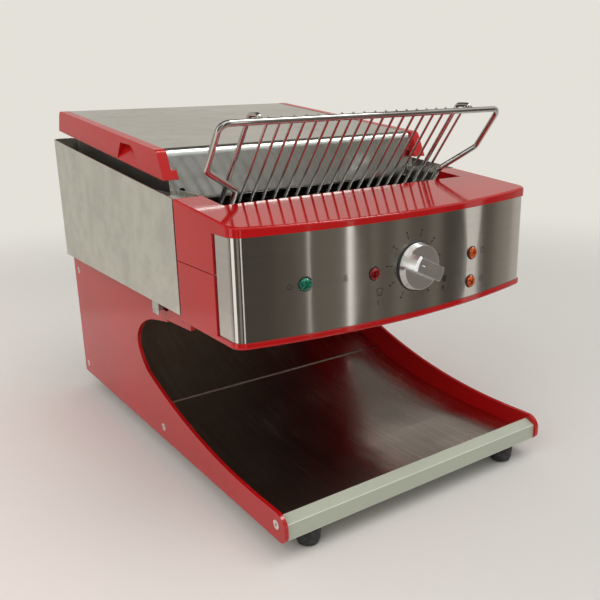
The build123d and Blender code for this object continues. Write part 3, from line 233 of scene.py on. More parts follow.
def brushed(name, tint, along, roughness, smudge, anisotropy, turn=0.0, vary=0.16, relief=0.35, contrast=1.0,
            mottle=0.0, front=None):
    """Brushed sheet: grain drawn out along its axes, with wiped smudges, cloudy stains and a few specks.

    A front (y, tint) gives the sheet another tint forward of that depth: a painted highlight along its front fold.
    """
    material, look = start(name)
    long_strokes, fine_strokes, front_fade = 9.0, 900.0, 0.004
    scale = [long_strokes if axis in along else fine_strokes for axis in "XYZ"]
    fine = look.noise(look.stretched(tuple(scale)), detail=3, rough=0.7)
    coarse = look.noise(look.stretched(tuple(s / 4 for s in scale)), detail=2, rough=0.6)
    wipes = look.noise(look.stretched((16, 16, 9), (0.5, 0.3, 0.7)), detail=5, rough=0.62)
    specks = look.span(look.cells(look.place(), 60), 0.10, 0.04)
    worn = look.span(wipes, 0.46, 0.70) * smudge
    light, dark = toned(tint, 1 + 0.10 * contrast), toned(tint, 1 - 0.20 * contrast)
    grain = look.blend(0.6 * fine + 0.4 * coarse, dark, light)
    stained = look.blend(worn * 0.6, grain, toned(tint, 0.62))
    if front:
        # Painted highlight: forward of that depth the sheet takes the front's lighter tint.
        edge_y, front_highlight_tint = front
        ahead = look.span(look.part(look.place(), "Y"), edge_y, edge_y - front_fade)
        stained = look.blend(ahead, stained, front_highlight_tint)
    if mottle:
        clouds = look.span(look.noise(look.place(), 42, 5, 0.66), 0.40, 0.66) * mottle
        stained = look.blend(clouds, stained, toned(tint, 0.72))
    look.shade(
        Base_Color=look.blend(specks * 0.35 * smudge, stained, toned(tint, 0.4)),
        Metallic=1.0,
        Roughness=roughness + vary * (fine - 0.5) + 0.12 * worn,
        Anisotropic=anisotropy,
        Anisotropic_Rotation=turn,
        Normal=look.bump(fine, 0.00003, relief, look.edges(0.0006)),
    )
    return material


def polished_chute():
    """Polished stainless chute: long worn streaks where toast slides, fine scratches, and painted shade on its cut
    edges.
    """
    material, look = start("polished_chute")
    streaks = look.noise(look.stretched((260, 5, 20)), detail=4, rough=0.6)
    scratches = look.span(look.noise(look.stretched((1400, 14, 40), (0, 0, 0.12)), detail=2), 0.66, 0.74)
    haze = look.noise(look.place(), 11, 4)
    wear_and_highlight = look.blend(streaks * haze * 2, (0.47, 0.40, 0.36), (0.84, 0.78, 0.70))
    # Painted shade: on the cut edges the base colour is darkened to near black, standing in for the shade that keeps
    # them dim.
    edge_shade = look.span(look.bend_at(0.002), 0.98, 0.85)
    look.shade(
        Base_Color=look.blend(edge_shade, wear_and_highlight, (0.03, 0.028, 0.026)),
        Metallic=1.0,
        Roughness=0.13 + 0.08 * streaks + 0.10 * look.span(haze, 0.4, 0.7) + 0.12 * scratches,
        Normal=look.bump(streaks + 0.5 * scratches, 0.00003, 0.25),
    )
    return material


def chrome():
    """Bright plated wire with a faint haze."""
    material, look = start("chrome")
    haze = look.noise(look.place(), 120, 3)
    look.shade(
        Base_Color=look.blend(haze, (0.47, 0.46, 0.45), (0.60, 0.59, 0.57)),
        Metallic=1.0,
        Roughness=0.04 + 0.05 * haze,
        Normal=look.bump(haze, 0.00001, 0.2),
    )
    return material


def bar_paint():
    """Satin pale stone paint with faint scuffs along its top, and a painted highlight along its ridges."""
    material, look = start("bar_paint")
    where = look.place()
    clouds = look.noise(where, 22, 4)
    scuffs = look.span(look.noise(look.stretched((30, 240, 240)), detail=4), 0.6, 0.75)
    grain = look.noise(where, 900, 1)
    colour = look.blend(clouds, (0.395, 0.427, 0.344), (0.43, 0.462, 0.374))
    # Painted highlight: along the ridges the base colour is lightened to near white, standing in for the light that
    # their edges catch.
    ridge = look.span(look.bend_at(0.0009), 0.999, 0.985)
    wear_and_highlight = look.blend(ridge, colour, (0.88, 0.88, 0.84))
    look.shade(
        Base_Color=look.blend(scuffs * 0.25, wear_and_highlight, (0.34, 0.34, 0.28)),
        Roughness=0.34 + 0.10 * clouds,
        Normal=look.bump(grain, 0.00003, 0.3, look.edges(0.0011)),
        IOR=1.5,
    )
    return material


def plain_sheet(name, tint, roughness=0.42):
    """Mill-finish sheet: faint rolling lines and a cloudy oxide."""
    material, look = start(name)
    rolled = look.noise(look.stretched((500, 12, 500)), detail=3, rough=0.6)
    clouds = look.noise(look.place(), 28, 4)
    look.shade(
        Base_Color=look.blend(0.5 * rolled + 0.5 * clouds, toned(tint, 0.78), tint),
        Metallic=1.0,
        Roughness=roughness + 0.2 * (clouds - 0.5) + 0.1 * (rolled - 0.5),
        Normal=look.bump(rolled, 0.00003, 0.4, look.edges(0.0005)),
    )
    return material


def galvanised():
    """Zinc coating with its spangle."""
    material, look = start("galvanised")
    spangle = look.part(look.cells(look.place(), 150, output="Color"), "X")
    look.shade(
        Base_Color=look.blend(spangle, (0.42, 0.41, 0.37), (0.66, 0.65, 0.60)),
        Metallic=0.85,
        Roughness=0.36 + 0.2 * spangle,
        Normal=look.bump(spangle, 0.00003, 0.5, look.edges(0.0004)),
    )
    return material


def rubber():
    """Black rubber, dusty."""
    material, look = start("rubber")
    dust = look.noise(look.place(), 260, 4)
    look.shade(
        Base_Color=look.blend(look.span(dust, 0.4, 0.75), (0.018, 0.018, 0.018), (0.06, 0.058, 0.055)),
        Roughness=0.62 + 0.2 * dust,
        Normal=look.bump(dust, 0.0001, 0.5, look.edges(0.0008)),
    )
    return material


def plastic(name, tint, roughness=0.45, pale=1.5):
    """Moulded plastic with a fine spark-eroded grain."""
    material, look = start(name)
    grain = look.noise(look.place(), 1500, 2)
    clouds = look.noise(look.place(), 40, 3)
    look.shade(
        Base_Color=look.blend(clouds, tint, tuple(min(1, channel * pale + 0.004) for channel in tint)),
        Roughness=roughness + 0.15 * clouds,
        Normal=look.bump(grain, 0.00004, 0.5, look.edges(0.0005)),
        IOR=1.48,
    )
    return material


def turned(name, tint, roughness=0.28):
    """Turned metal: fine rings square to its axis, which runs along X."""
    material, look = start(name)
    rings = look.noise(look.stretched((2500, 60, 60)), detail=2)
    look.shade(
        Base_Color=look.blend(rings, toned(tint, 0.8), tint),
        Metallic=1.0,
        Roughness=roughness + 0.14 * (rings - 0.5),
        Normal=look.bump(rings, 0.00002, 0.4, look.edges(0.0004)),
    )
    return material


def tinted_wire():
    """Stainless wire that the heat has browned."""
    material, look = start("tinted_wire")
    heat = look.noise(look.place(), 35, 4)
    browned = [(0.25, (0.30, 0.24, 0.18)), (0.55, (0.48, 0.42, 0.34)), (0.8, (0.36, 0.33, 0.34))]
    look.shade(
        Base_Color=look.node("ValToRGB", {"stops": browned}, {"Fac": heat}),
        Metallic=1.0,
        Roughness=0.3 + 0.2 * heat,
    )
    return material


def heater():
    """Oxidised sheath of a heating tube."""
    material, look = start("heater")
    scale = look.noise(look.place(), 180, 4)
    look.shade(
        Base_Color=look.blend(look.span(scale, 0.35, 0.7), (0.07, 0.065, 0.06), (0.18, 0.15, 0.13)),
        Metallic=0.6,
        Roughness=0.6 + 0.2 * scale,
        Normal=look.bump(scale, 0.0001, 0.5),
    )
    return material


def board_coat():
    """Coated circuit board with its tracks."""
    material, look = start("board_coat")
    track = look.cells(look.place(), 180)
    look.shade(
        Base_Color=look.blend(look.span(track, 0.25, 0.35), (0.05, 0.30, 0.12), (0.02, 0.15, 0.06)),
        Roughness=0.32 + 0.1 * track,
        Coat_Weight=0.4,
    )
    return material


def jewel(name, deep, bright):
    """Cast lens: its facets glint in its own colour, and painted glints make that colour deeper and brighter by turns.
    """
    material, look = start(name)
    # Painted glints: cells and patches turn the base colour from deep to bright, standing in for the light that the
    # facets catch.
    glint_cells = look.cells(look.place(), 520)
    glint_patches = look.span(look.noise(look.place(), 380, 1), 0.42, 0.62)
    look.shade(
        Base_Color=look.blend(0.35 * glint_cells + 0.65 * glint_patches, deep, bright),
        Metallic=0.55,
        Roughness=0.10 + 0.10 * glint_cells,
        Coat_Weight=0.35 + 0.1 * glint_patches,
        Coat_Roughness=0.03,
        IOR=1.5,
    )
    return material


def knob_metal():
    """Satin aluminium, turned: fine rings about the knob's axis and a cloudy anodised film."""
    material, look = start("knob_metal")
    rings = look.noise(look.stretched((60, 900, 60)), detail=2)
    clouds = look.noise(look.place(), 60, 3)
    look.shade(
        Base_Color=look.blend(clouds, (0.88, 0.89, 0.89), (0.95, 0.96, 0.96)),
        Metallic=1.0,
        Roughness=0.20 + 0.05 * clouds + 0.06 * (rings - 0.5),
        Normal=look.bump(rings, 0.00001, 0.2, look.edges(0.0010)),
    )
    return material


looks = {
    "body_paint": red_paint(),
    "trim_red": moulded_red(),
    "chute_steel": polished_chute(),
    "rack_chrome": chrome(),
    "bar_paint": bar_paint(),
    "inner_sheet": plain_sheet("inner_sheet", (0.55, 0.54, 0.52)),
    "reflector_sheet": plain_sheet("reflector_sheet", (0.66, 0.62, 0.55), 0.25),
    "foot_rubber": rubber(),
    "black_plastic": plastic("black_plastic", (0.015, 0.015, 0.016)),
    "terminal_plastic": plastic("terminal_plastic", (0.62, 0.58, 0.50), 0.5, 1.1),
    "knob_metal": knob_metal(),
    "green_lens": jewel("green_lens", (0.001, 0.030, 0.018), (0.002, 0.26, 0.155)),
    "red_lens": jewel("red_lens", (0.055, 0.0005, 0.0005), (0.32, 0.004, 0.004)),
    "amber_lens": jewel("amber_lens", (0.24, 0.02, 0.001), (0.86, 0.16, 0.012)),
    "bright_steel": turned("bright_steel", (0.60, 0.59, 0.58)),
    "chain_steel": turned("chain_steel", (0.24, 0.22, 0.20), 0.4),
    "belt_wire": tinted_wire(),
    "heating_tube": heater(),
    "bush_brass": turned("bush_brass", (0.74, 0.55, 0.24), 0.3),
    "board_green": board_coat(),
    "motor_steel": plastic("motor_steel", (0.10, 0.10, 0.105), 0.35),
}
# Finishes of single nodes, in place of their slot's.
own_looks = {
    "outer_shell": brushed("shell_steel", (0.77, 0.785, 0.71), along="Z", roughness=0.36, smudge=0.40, anisotropy=0.3,
                           contrast=0.35, mottle=0.42),
    # The lid is tinted lighter and cooler forward of where its front fold starts: a painted highlight along the fold
    # and its face.
    "lid_panel": brushed("lid_steel", (0.55, 0.548, 0.49), along="X", roughness=0.20, smudge=0.25, anisotropy=0.3,
                         vary=0.08, relief=0.1, contrast=0.4, mottle=0.25, front=(-0.053, (0.82, 0.87, 0.86))),
    "fascia_panel": brushed("fascia_steel", (0.60, 0.58, 0.545), along="XY", roughness=0.105, smudge=0.10,
                            anisotropy=1.0, turn=0.25, vary=0.02, relief=0.0, contrast=0.8),
    "side_screws": turned("screw_steel", (0.93, 0.91, 0.88), 0.34),
    "side_ledges": galvanised(),
    "shell_brackets": galvanised(),
}
looks["brushed_skin"] = own_looks["fascia_panel"]
looks["print_ink"] = plastic("print_ink", (0.012, 0.011, 0.010), 0.5)
looks["index_and_highlight_white"] = plastic("index_and_highlight_white", (0.86, 0.87, 0.87), 0.3, 1.05)

slot_of = {row["node"]: row["material_slot"] for row in frame["record"]["subparts"]}
for name, node in frame["nodes"].items():
    node.data.materials.clear()
    node.data.materials.append(own_looks.get(name) or looks[slot_of[name]])


# ---------------------------------------------------------------- shapes, in millimetres
HOOD_RADIUS = 740.0                              # the bow of the hood, seen from above
PANEL_RADIUS, PANEL_CENTRE = 738.5, 495.5        # the bow of the steel panel, and the Y of its centre


def piece(name, body, slot, points, faces, smooth=True):
    """Mesh from points in millimetres, with its slot's finish, riding on a body."""
    mesh = bpy.data.meshes.new(name)
    mesh.from_pydata((np.asarray(points, float) * MM).tolist(), [], faces)
    mesh.polygons.foreach_set("use_smooth", np.full(len(mesh.polygons), smooth))
    mesh.materials.append(looks[slot])
    mesh.update()
    made = bpy.data.objects.new(name, mesh)
    bpy.context.scene.collection.objects.link(made)
    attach(made, body)
    return made


def facing(x, z):
    """Frame of a control on the bowed panel: its foot, sideways, upward and outward directions.

    With t = asin(x / hood radius) and the panel's radius r and centre c, the foot is
    (r sin t, c - r cos t, z), and outward is (sin t, -cos t, 0).
    """
    bearing = math.asin(x / HOOD_RADIUS)
    sine, cosine = math.sin(bearing), math.cos(bearing)
    foot = np.array((PANEL_RADIUS * sine, PANEL_CENTRE - PANEL_RADIUS * cosine, z))
    return foot, np.array((cosine, sine, 0)), np.array((0, 0, 1)), np.array((sine, -cosine, 0))


def at_control(frame_of, local):
    """Points (sideways, upward, outward) of a control, in the object's frame."""
    foot, sideways, upward, outward = frame_of
    local = np.asarray(local, float)
    return foot + local[:, :1] * sideways + local[:, 1:2] * upward + local[:, 2:] * outward


def wrapped(flat, lift):
    """Flat (sideways, z) points laid on the bow: the angle from the middle is the width over the radius."""
    flat = np.asarray(flat, float)
    angle = flat[:, 0] / PANEL_RADIUS
    reach = PANEL_RADIUS + lift
    return np.stack((reach * np.sin(angle), PANEL_CENTRE - reach * np.cos(angle), flat[:, 1]), axis=1)


def skin(rows, columns, around=True, looped=False, capped=False):
    """Quads of a grid of points, row by row: (r, c), (r, c + 1), (r + 1, c + 1), (r + 1, c).

    Around joins the last column to the first and looped the last row to the first. Capped closes the end rows.
    """
    spans = (rows if looped else rows - 1, columns if around else columns - 1)
    row, column = np.indices(spans).reshape(2, -1)
    here, there, after = row * columns, (row + 1) % rows * columns, (column + 1) % columns
    faces = np.stack((here + column, here + after, there + after, there + column), axis=1).tolist()
    if capped:
        faces += [list(range(columns))[::-1], list(range((rows - 1) * columns, rows * columns))]
    return faces


def circle(radius, sides, start=0.0):
    """Points radius * (cos a, sin a), the angle a in equal steps from start."""
    angle = start + np.arange(sides) * math.tau / sides
    return radius * np.stack((np.cos(angle), np.sin(angle)), axis=1)


def level(outline, outward, grown=0.0):
    """A flat outline at a height, its points moved outward from the middle by grown."""
    outline = np.asarray(outline, float)
    length = np.linalg.norm(outline - outline.mean(0), axis=1)[:, None]
    outline = outline + (outline - outline.mean(0)) / np.maximum(length, 1e-9) * grown
    return np.column_stack((outline, np.full(len(outline), float(outward))))


def stacked(outlines, capped=True):
    """Skin over equal-count outlines, each row of (sideways, upward, outward) points joined to the next."""
    return np.vstack(outlines), skin(len(outlines), len(outlines[0]), capped=capped)


def revolved(profile, sides, capped=False):
    """Shape turned about a control's axis: a ring radius * (cos a, sin a) at each height of its profile."""
    return stacked([level(circle(radius, sides), height) for radius, height in profile], capped)


def joined(parts):
    """One list of points and faces from several."""
    points, faces, count = [], [], 0
    for some, corners in parts:
        points.append(np.asarray(some, float))
        faces += [[corner + count for corner in face] for face in corners]
        count += len(some)
    return np.vstack(points), faces


def directions(path, closed):
    """Unit direction at each point of a path, midway between the steps before and after it.

    A closed path ends on its first point.
    """
    steps = np.diff(path, axis=0)
    before, ahead = np.vstack((steps[:1], steps)), np.vstack((steps, steps[-1:]))
    if closed:
        before[0], ahead[-1] = steps[-1], steps[0]
    run = ahead / np.linalg.norm(ahead, axis=1)[:, None] + before / np.linalg.norm(before, axis=1)[:, None]
    return run / np.linalg.norm(run, axis=1)[:, None]


def round_corners(corners, bends, closed, steps=7):
    """Polyline with arcs of the given radii in its corners.

    An arc of radius r in a corner between unit directions u and v, which meet at angle a, starts
    r / tan(a / 2) from the corner and has its centre r / sin(a / 2) along their bisector. Over its sweep w
    it goes through sin((1 - s) w) / sin(w) of its first arm plus sin(s w) / sin(w) of its last.
    """
    corners = np.asarray(corners, float)
    share = np.linspace(0, 1, steps)[:, None]
    path = []
    for place, bend in enumerate(bends):
        here = corners[place]
        if not bend:
            path.append(here)
            continue
        u, v = (corners[(place + step) % len(corners)] - here for step in (-1, 1))
        u, v = u / np.linalg.norm(u), v / np.linalg.norm(v)
        half = math.acos(float(np.clip(u @ v, -1, 1))) / 2
        middle = (u + v) / np.linalg.norm(u + v)
        centre = here + middle * bend / math.sin(half)
        first, last = here + u * bend / math.tan(half) - centre, here + v * bend / math.tan(half) - centre
        sweep = math.pi - 2 * half
        path.append(centre + (np.sin((1 - share) * sweep) * first + np.sin(share * sweep) * last) / math.sin(sweep))
    path = np.vstack(path)
    return np.vstack((path, path[:1])) if closed else path


DOME = np.array((0.3, 0.8, 1.2, math.pi / 2))    # angles of a dome's rings, from its tip to its foot
DOME_END = 1.3                                   # where the straight rod takes over, in radii from the tip


def rod(path, normal, radius, sides=14, domes=False):
    """Round rod along a path in a plane: rings p + radius * (cos a * s + sin a * n).

    n is the plane's normal, and s is square to it and to the path. On a dome the ring at angle t is
    radius * (1 - cos t) from the tip, and its radius is radius * sin t.
    """
    path = np.asarray(path, float)
    closed = np.allclose(path[0], path[-1])
    run = directions(path, closed)
    if closed:
        path, run = path[:-1], run[:-1]
    side = np.cross(run, normal)
    radii = np.full(len(path), float(radius))
    if domes:
        along, width = np.append(1 - np.cos(DOME), DOME_END)[:, None], np.append(np.sin(DOME), 1.0)
        path = np.vstack((path[0] + run[0] * radius * along, path[-1] - run[-1] * radius * along[::-1]))
        radii = radius * np.append(width, width[::-1])
        side = np.repeat(side[[0, -1]], len(along), axis=0)
    ring = circle(1, sides)
    arms = ring[None, :, :1] * side[:, None] + ring[None, :, 1:] * normal
    points = (path[:, None] + radii[:, None, None] * arms).reshape(-1, 3)
    return points, skin(len(path), sides, looped=closed, capped=not closed)


def stroke(points, width, closed=False):
    """Printed line through flat points: each goes half the width to both sides, square to the line there.

    The width is one number or one for each point.
    """
    points = np.asarray(points, float)
    if closed:
        points = np.vstack((points, points[:1]))
    run = directions(points, closed)
    half = np.column_stack((-run[:, 1], run[:, 0])) * np.reshape(width, (-1, 1)) / 2
    count = len(points)
    step = np.arange(count - 1)
    faces = np.stack((step, step + count, step + count + 1, step + 1), axis=1)
    return np.vstack((points + half, points - half)), faces.tolist()


def round_dot(centre, radius, sides=14):
    """Printed dot: one face in a circle about its centre."""
    return circle(radius, sides) + np.asarray(centre, float), [list(range(sides))]


# ---------------------------------------------------------------- bread rack
# Plated rods in the plane of the slope, with the wires welded on top and the guides under them.
RACK_TOP = np.array((0, -188.0, 383.5))          # middle of the top rail
DOWN, RACK_NORMAL, ACROSS = np.array((0, 0.6, -0.8)), np.array((0, 0.8, 0.6)), np.array((1.0, 0, 0))
RAIL, WIRE, GUIDE = 3.0, 1.35, 2.45              # radii of the rods
HALF_FRAME = [(132, 125, 6), (132, 80, 6), (170.8, 52, 8), (170.8, 0, 9)]      # width, way down, bend
WIRE_PITCH, WIRE_RISE, WIRE_START, WIRE_END = 13.4, 4.3, -2.0, 128.5
WIRES_BESIDE = 9                                 # wires on each side of the middle one
GUIDE_SIDE = 129.5
GUIDE_LINE = [(0, 2.0, 0), (0, 9, 3), (8, 20, 5), (116, 20, 5), (124, 9, 3), (124, 2.0, 0)]      # way down, rise, bend


def on_rack(width, along, height=0.0):
    """Point from the middle of the top rail: so far across, down the slope and up from it."""
    return RACK_TOP + width * ACROSS + along * DOWN + height * RACK_NORMAL


outline = HALF_FRAME + [(-width, along, bend) for width, along, bend in HALF_FRAME[::-1]]
loop = round_corners([on_rack(width, along) for width, along, _ in outline], [bend for *_, bend in outline], True, 9)
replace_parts(piece("rack_frame_rod", "bread_rack", "rack_chrome", *rod(loop, RACK_NORMAL, RAIL, 18)), "rack_frame")
wires = [
    rod([on_rack(WIRE_PITCH * place, along, WIRE_RISE) for along in (WIRE_START, WIRE_END)], RACK_NORMAL, WIRE, 12,
        domes=True)
    for place in range(-WIRES_BESIDE, WIRES_BESIDE + 1)
]
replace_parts(piece("rack_wire_rods", "bread_rack", "rack_chrome", *joined(wires)), "rack_wires")
for side_name, width in (("left", -GUIDE_SIDE), ("right", GUIDE_SIDE)):
    corners = [on_rack(width, along, height) for along, height, _ in GUIDE_LINE]
    bent = round_corners(corners, [bend for *_, bend in GUIDE_LINE], False)
    guide = piece(f"guide_rail_{side_name}", "bread_rack", "rack_chrome", *rod(bent, ACROSS, GUIDE))
    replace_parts(guide, f"guide_rod_{side_name}")

# ---------------------------------------------------------------- push-buttons and lamp
# Brilliant-cut lenses in thin collars on their switch blocks. Profiles are (radius, height from the panel).
CONTROLS = {      # x, z, body and finish of the lens, and the nodes that lens and housing stand for
    "power": (-119.5, 245.5, "power_button", "green_lens", "power_button", "power_switch"),
    "bread": (83.8, 245.0, "bread_button", "amber_lens", "bread_button", "bread_switch"),
    "bun": (82.5, 215.5, "bun_button", "amber_lens", "bun_button", "bun_switch"),
    "lamp": (-47.6, 244.9, "toaster", "red_lens", "lock_lamp", "lock_lamp_holder"),
}
LENS_SIDES = 16
LENS_RINGS = ((6.05, 0.3, 0), (6.05, 1.4, 0), (5.7, 2.2, 0), (4.2, 3.5, 1), (2.4, 4.2, 0), (1.0, 4.5, 1))
GIRDLE = 3                                       # the first rings are joined by quads, the rest by facets
LENS_TIP = (0, 0, 4.55)
STEM = ((5.8, 0.3), (5.8, -3.0), (3.2, -3.0), (3.2, -14.6))
COLLAR = ((6.15, -3), (6.15, 0.7), (6.3, 0.85), (6.5, 0.8), (6.6, 0.6), (6.6, 0.1), (6.6, -3), (6.9, -3), (6.9, -12))
BLOCK = ((9, 6.5), (7.5, 8), (-7.5, 8), (-9, 6.5), (-9, -6.5), (-7.5, -8), (7.5, -8), (9, -6.5))
BLOCK_LEVELS = ((-12, -0.8), (-12.6, 0), (-29.4, 0), (-30, -0.8))              # height, growth
BLADE_LEVELS = ((0.4, 3.1, -30), (0.4, 3.1, -37.4), (0.2, 2.4, -38))           # half thickness, half width, height
SEAT_RING = ((6.62, -1.0), (6.62, 0.12), (6.75, 0.2), (7.35, 0.06))


def facets(lower, upper, ahead):
    """Triangles between two rings of a lens, the upper ring half a step ahead of the lower one or behind it."""
    step = np.arange(LENS_SIDES)
    after = (step + 1) % LENS_SIDES
    if ahead:
        pair = (lower + step, lower + after, upper + step), (upper + step, lower + after, upper + after)
    else:
        pair = (lower + step, upper + after, upper + step), (lower + step, lower + after, upper + after)
    return np.transpose(pair, (2, 0, 1)).reshape(-1, 3).tolist()


def cut_lens():
    """Lens on its stem: rings radius * (cos a, sin a), some of them half a step round, drawn in to a tip."""
    rings = [level(circle(radius, LENS_SIDES, half_steps * math.pi / LENS_SIDES), height)
             for radius, height, half_steps in LENS_RINGS]
    _, faces = stacked(rings[:GIRDLE], capped=False)
    for place in range(GIRDLE, len(rings)):
        faces += facets((place - 1) * LENS_SIDES, place * LENS_SIDES, LENS_RINGS[place][2])
    top, tip = (len(rings) - 1) * LENS_SIDES, len(rings) * LENS_SIDES
    faces += [[top + step, top + (step + 1) % LENS_SIDES, tip] for step in range(LENS_SIDES)]
    return joined([(np.vstack(rings + [LENS_TIP]), faces), revolved(STEM, LENS_SIDES, capped=True)])


def housing():
    """Collar, switch block with cut corners, and two flat blades whose tips are drawn in."""
    block = stacked([level(BLOCK, height, grown) for height, grown in BLOCK_LEVELS])
    blades = [
        stacked([level([(at - thick, -wide), (at + thick, -wide), (at + thick, wide), (at - thick, wide)], height)
                 for thick, wide, height in BLADE_LEVELS])
        for at in (-5, 5)
    ]
    return joined([revolved(COLLAR, 40), block] + blades)


lens_points, lens_faces = cut_lens()
housing_points, housing_faces = housing()
seat_points, seat_faces = revolved(SEAT_RING, 48)
for name, (x, z, body, slot, lens_node, housing_node) in CONTROLS.items():
    here = facing(x, z)
    lens = piece(f"{name}_lens", body, slot, at_control(here, lens_points), lens_faces, smooth=False)
    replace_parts(lens, lens_node)
    case = piece(f"{name}_housing", "toaster", "black_plastic", at_control(here, housing_points), housing_faces,
                 smooth=False)
    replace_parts(case, housing_node)

# Flush steel rings close the panel's holes round the collars.
seats = [(at_control(facing(x, z), seat_points), seat_faces) for x, z, *_ in CONTROLS.values()]
piece("lens_seats", "toaster", "brushed_skin", *joined(seats))

# ---------------------------------------------------------------- speed knob
# A black gasket behind it, which also stands for the shade in the gap under the knob, and white on the knob: a painted
# highlight over the rim and a short engraved index line.
KNOB = facing(3.0, 244.7)
GRIP_TURN = math.radians(-26)
GASKET_AND_SHADE = ((3.4, -0.3), (3.4, 1.0), (23.7, 1.0), (24.3, 0.7), (24.5, -0.5))
FACE, SHOULDER = 19.05, 18.15                    # heights just over the knob's face and over its rounded rim
# The white patch over the rim is a painted highlight: it stands for the glint that the rim's bevel catches at the
# grip's end.
RIM_HIGHLIGHT = ((15.9, FACE), (17.95, FACE), (18.85, SHOULDER))
LINE, LINE_WIDTHS = [(-11.8, 0.3), (-9.6, 0.3), (-7.4, 0.3)], (0.7, 0.9, 0.7)


def spun(points, angle):
    """Points turned about a control's axis: (x cos a - y sin a, x sin a + y cos a, height)."""
    x, y, height = np.asarray(points, float).T
    sine, cosine = math.sin(angle), math.cos(angle)
    return np.column_stack((x * cosine - y * sine, x * sine + y * cosine, height))


# The black gasket is partly real and partly painted shade: its dark ring also stands for the shade in the gap behind
# the knob.
gasket_and_shade_points, gasket_and_shade_faces = revolved(GASKET_AND_SHADE, 72)
piece("knob_gasket_and_shade", "toaster", "black_plastic", at_control(KNOB, gasket_and_shade_points), gasket_and_shade_faces)

# The rim patch is painted highlight, and the short line is the index.
sweep = np.radians(np.linspace(155, 203, 9))
rim_highlight = [np.column_stack((radius * np.cos(sweep), radius * np.sin(sweep), np.full(len(sweep), height)))
         for radius, height in RIM_HIGHLIGHT]
line_points, line_faces = stroke(LINE, LINE_WIDTHS)
index_and_highlight_points, index_and_highlight_faces = joined([
    (np.vstack(rim_highlight), skin(len(rim_highlight), len(sweep), around=False)),
    (level(line_points, FACE), line_faces),
])
piece("knob_index_and_highlight", "speed_knob", "index_and_highlight_white", at_control(KNOB, spun(index_and_highlight_points, GRIP_TURN)), index_and_highlight_faces)

# ---------------------------------------------------------------- print on the panel
# Dots and ticks round the dial, and small plain signs beside the lamps, in (sideways, z).
DIAL = np.array((0.8, 246.0))
DIAL_START, DIAL_STEP, DIAL_MARKS = -150, 33, 10
DOT_RING, DOT, TICK_START, TICK_END, TICK_WIDTH = 33.8, 1.05, 27.4, 31.4, 0.85
PRINT_LIFT = 0.06
HALF_SLICE = np.array(((0.36, -0.5), (0.38, 0.06), (0.5, 0.2), (0.48, 0.38), (0.34, 0.48), (0.14, 0.5)))


def slice_outline(x, z, size):
    """Outline of a slice of bread: straight sides and a crown of two lobes, one half the other's mirror image."""
    return (x, z) + size * np.vstack((HALF_SLICE, HALF_SLICE[::-1] * (-1, 1)))


prints = []
for mark in range(DIAL_MARKS):
    angle = math.radians(DIAL_START + DIAL_STEP * mark)
    aim = np.array((math.sin(angle), math.cos(angle)))
    tick = [DIAL + aim * TICK_START, DIAL + aim * TICK_END]
    prints += [round_dot(DIAL + aim * DOT_RING, DOT), stroke(tick, TICK_WIDTH)]

ring = math.tau * np.linspace(0.16, 0.84, 18)
power_ring = np.column_stack((-134.4 + 2.2 * np.sin(ring), 244.6 + 2.2 * np.cos(ring)))
dark_slice = slice_outline(42.0, 225.6, 6.6)
prints += [
    # pale end of the dial: an outlined slice over an arrow head, dark end: a filled slice
    stroke(slice_outline(-41.6, 226.6, 7.0), 0.6, closed=True),
    stroke([(-39.8, 222.5), (-41.6, 224.9), (-43.4, 222.5)], 0.5),
    (dark_slice, [list(range(len(dark_slice)))[::-1]]),
    # numbers at the ends: 1 and 8
    stroke([(-44.4, 217.4), (-43.2, 218.6), (-43.2, 214.0)], 0.8),
    stroke(circle(1.05, 16) + (40.0, 218.0), 0.75, closed=True),
    stroke(circle(1.3, 16) + (40.0, 215.6), 0.75, closed=True),
    # lock
    stroke([(-81.0, 242.6), (-77.2, 242.6), (-77.2, 245.6), (-81.0, 245.6)], 0.55, closed=True),
    stroke([(-80.3, 245.6), (-80.3, 247.2), (-79.7, 248.0), (-78.5, 248.0), (-77.9, 247.2), (-77.9, 245.6)], 0.5),
    round_dot((-79.1, 244.1), 0.6),
    # on and off
    stroke(power_ring, 0.6),
    stroke([(-134.4, 245.2), (-134.4, 247.6)], 0.6),
    # bread, and a bun in two halves
    stroke(slice_outline(101.5, 245.4, 6.0), 0.55, closed=True),
    stroke([(98.6, 215.4), (99.2, 217.3), (100.6, 218.4), (102.4, 218.4), (103.8, 217.3), (104.4, 215.4)], 0.55,
           closed=True),
    stroke([(98.6, 214.0), (104.4, 214.0), (103.8, 212.6), (99.2, 212.6)], 0.55, closed=True),
]
flat_points, print_faces = joined(prints)
piece("panel_print", "toaster", "print_ink", wrapped(flat_points, PRINT_LIFT), print_faces)


# ---------------------------------------------------------------- floor
BACKDROP = (0.775, 0.752, 0.695)
CLOTH_AND_PAINTED_LIGHT = (0.70, 0.685, 0.655), (0.83, 0.76, 0.725)      # to the right of the machine, and to its left painted lighter and pinker, as lit by red light off its side
NEAR, FAR = 0.8, 1.7             # the floor turns into the backdrop between these distances
FLOOR = 30.0                     # from the middle to each side


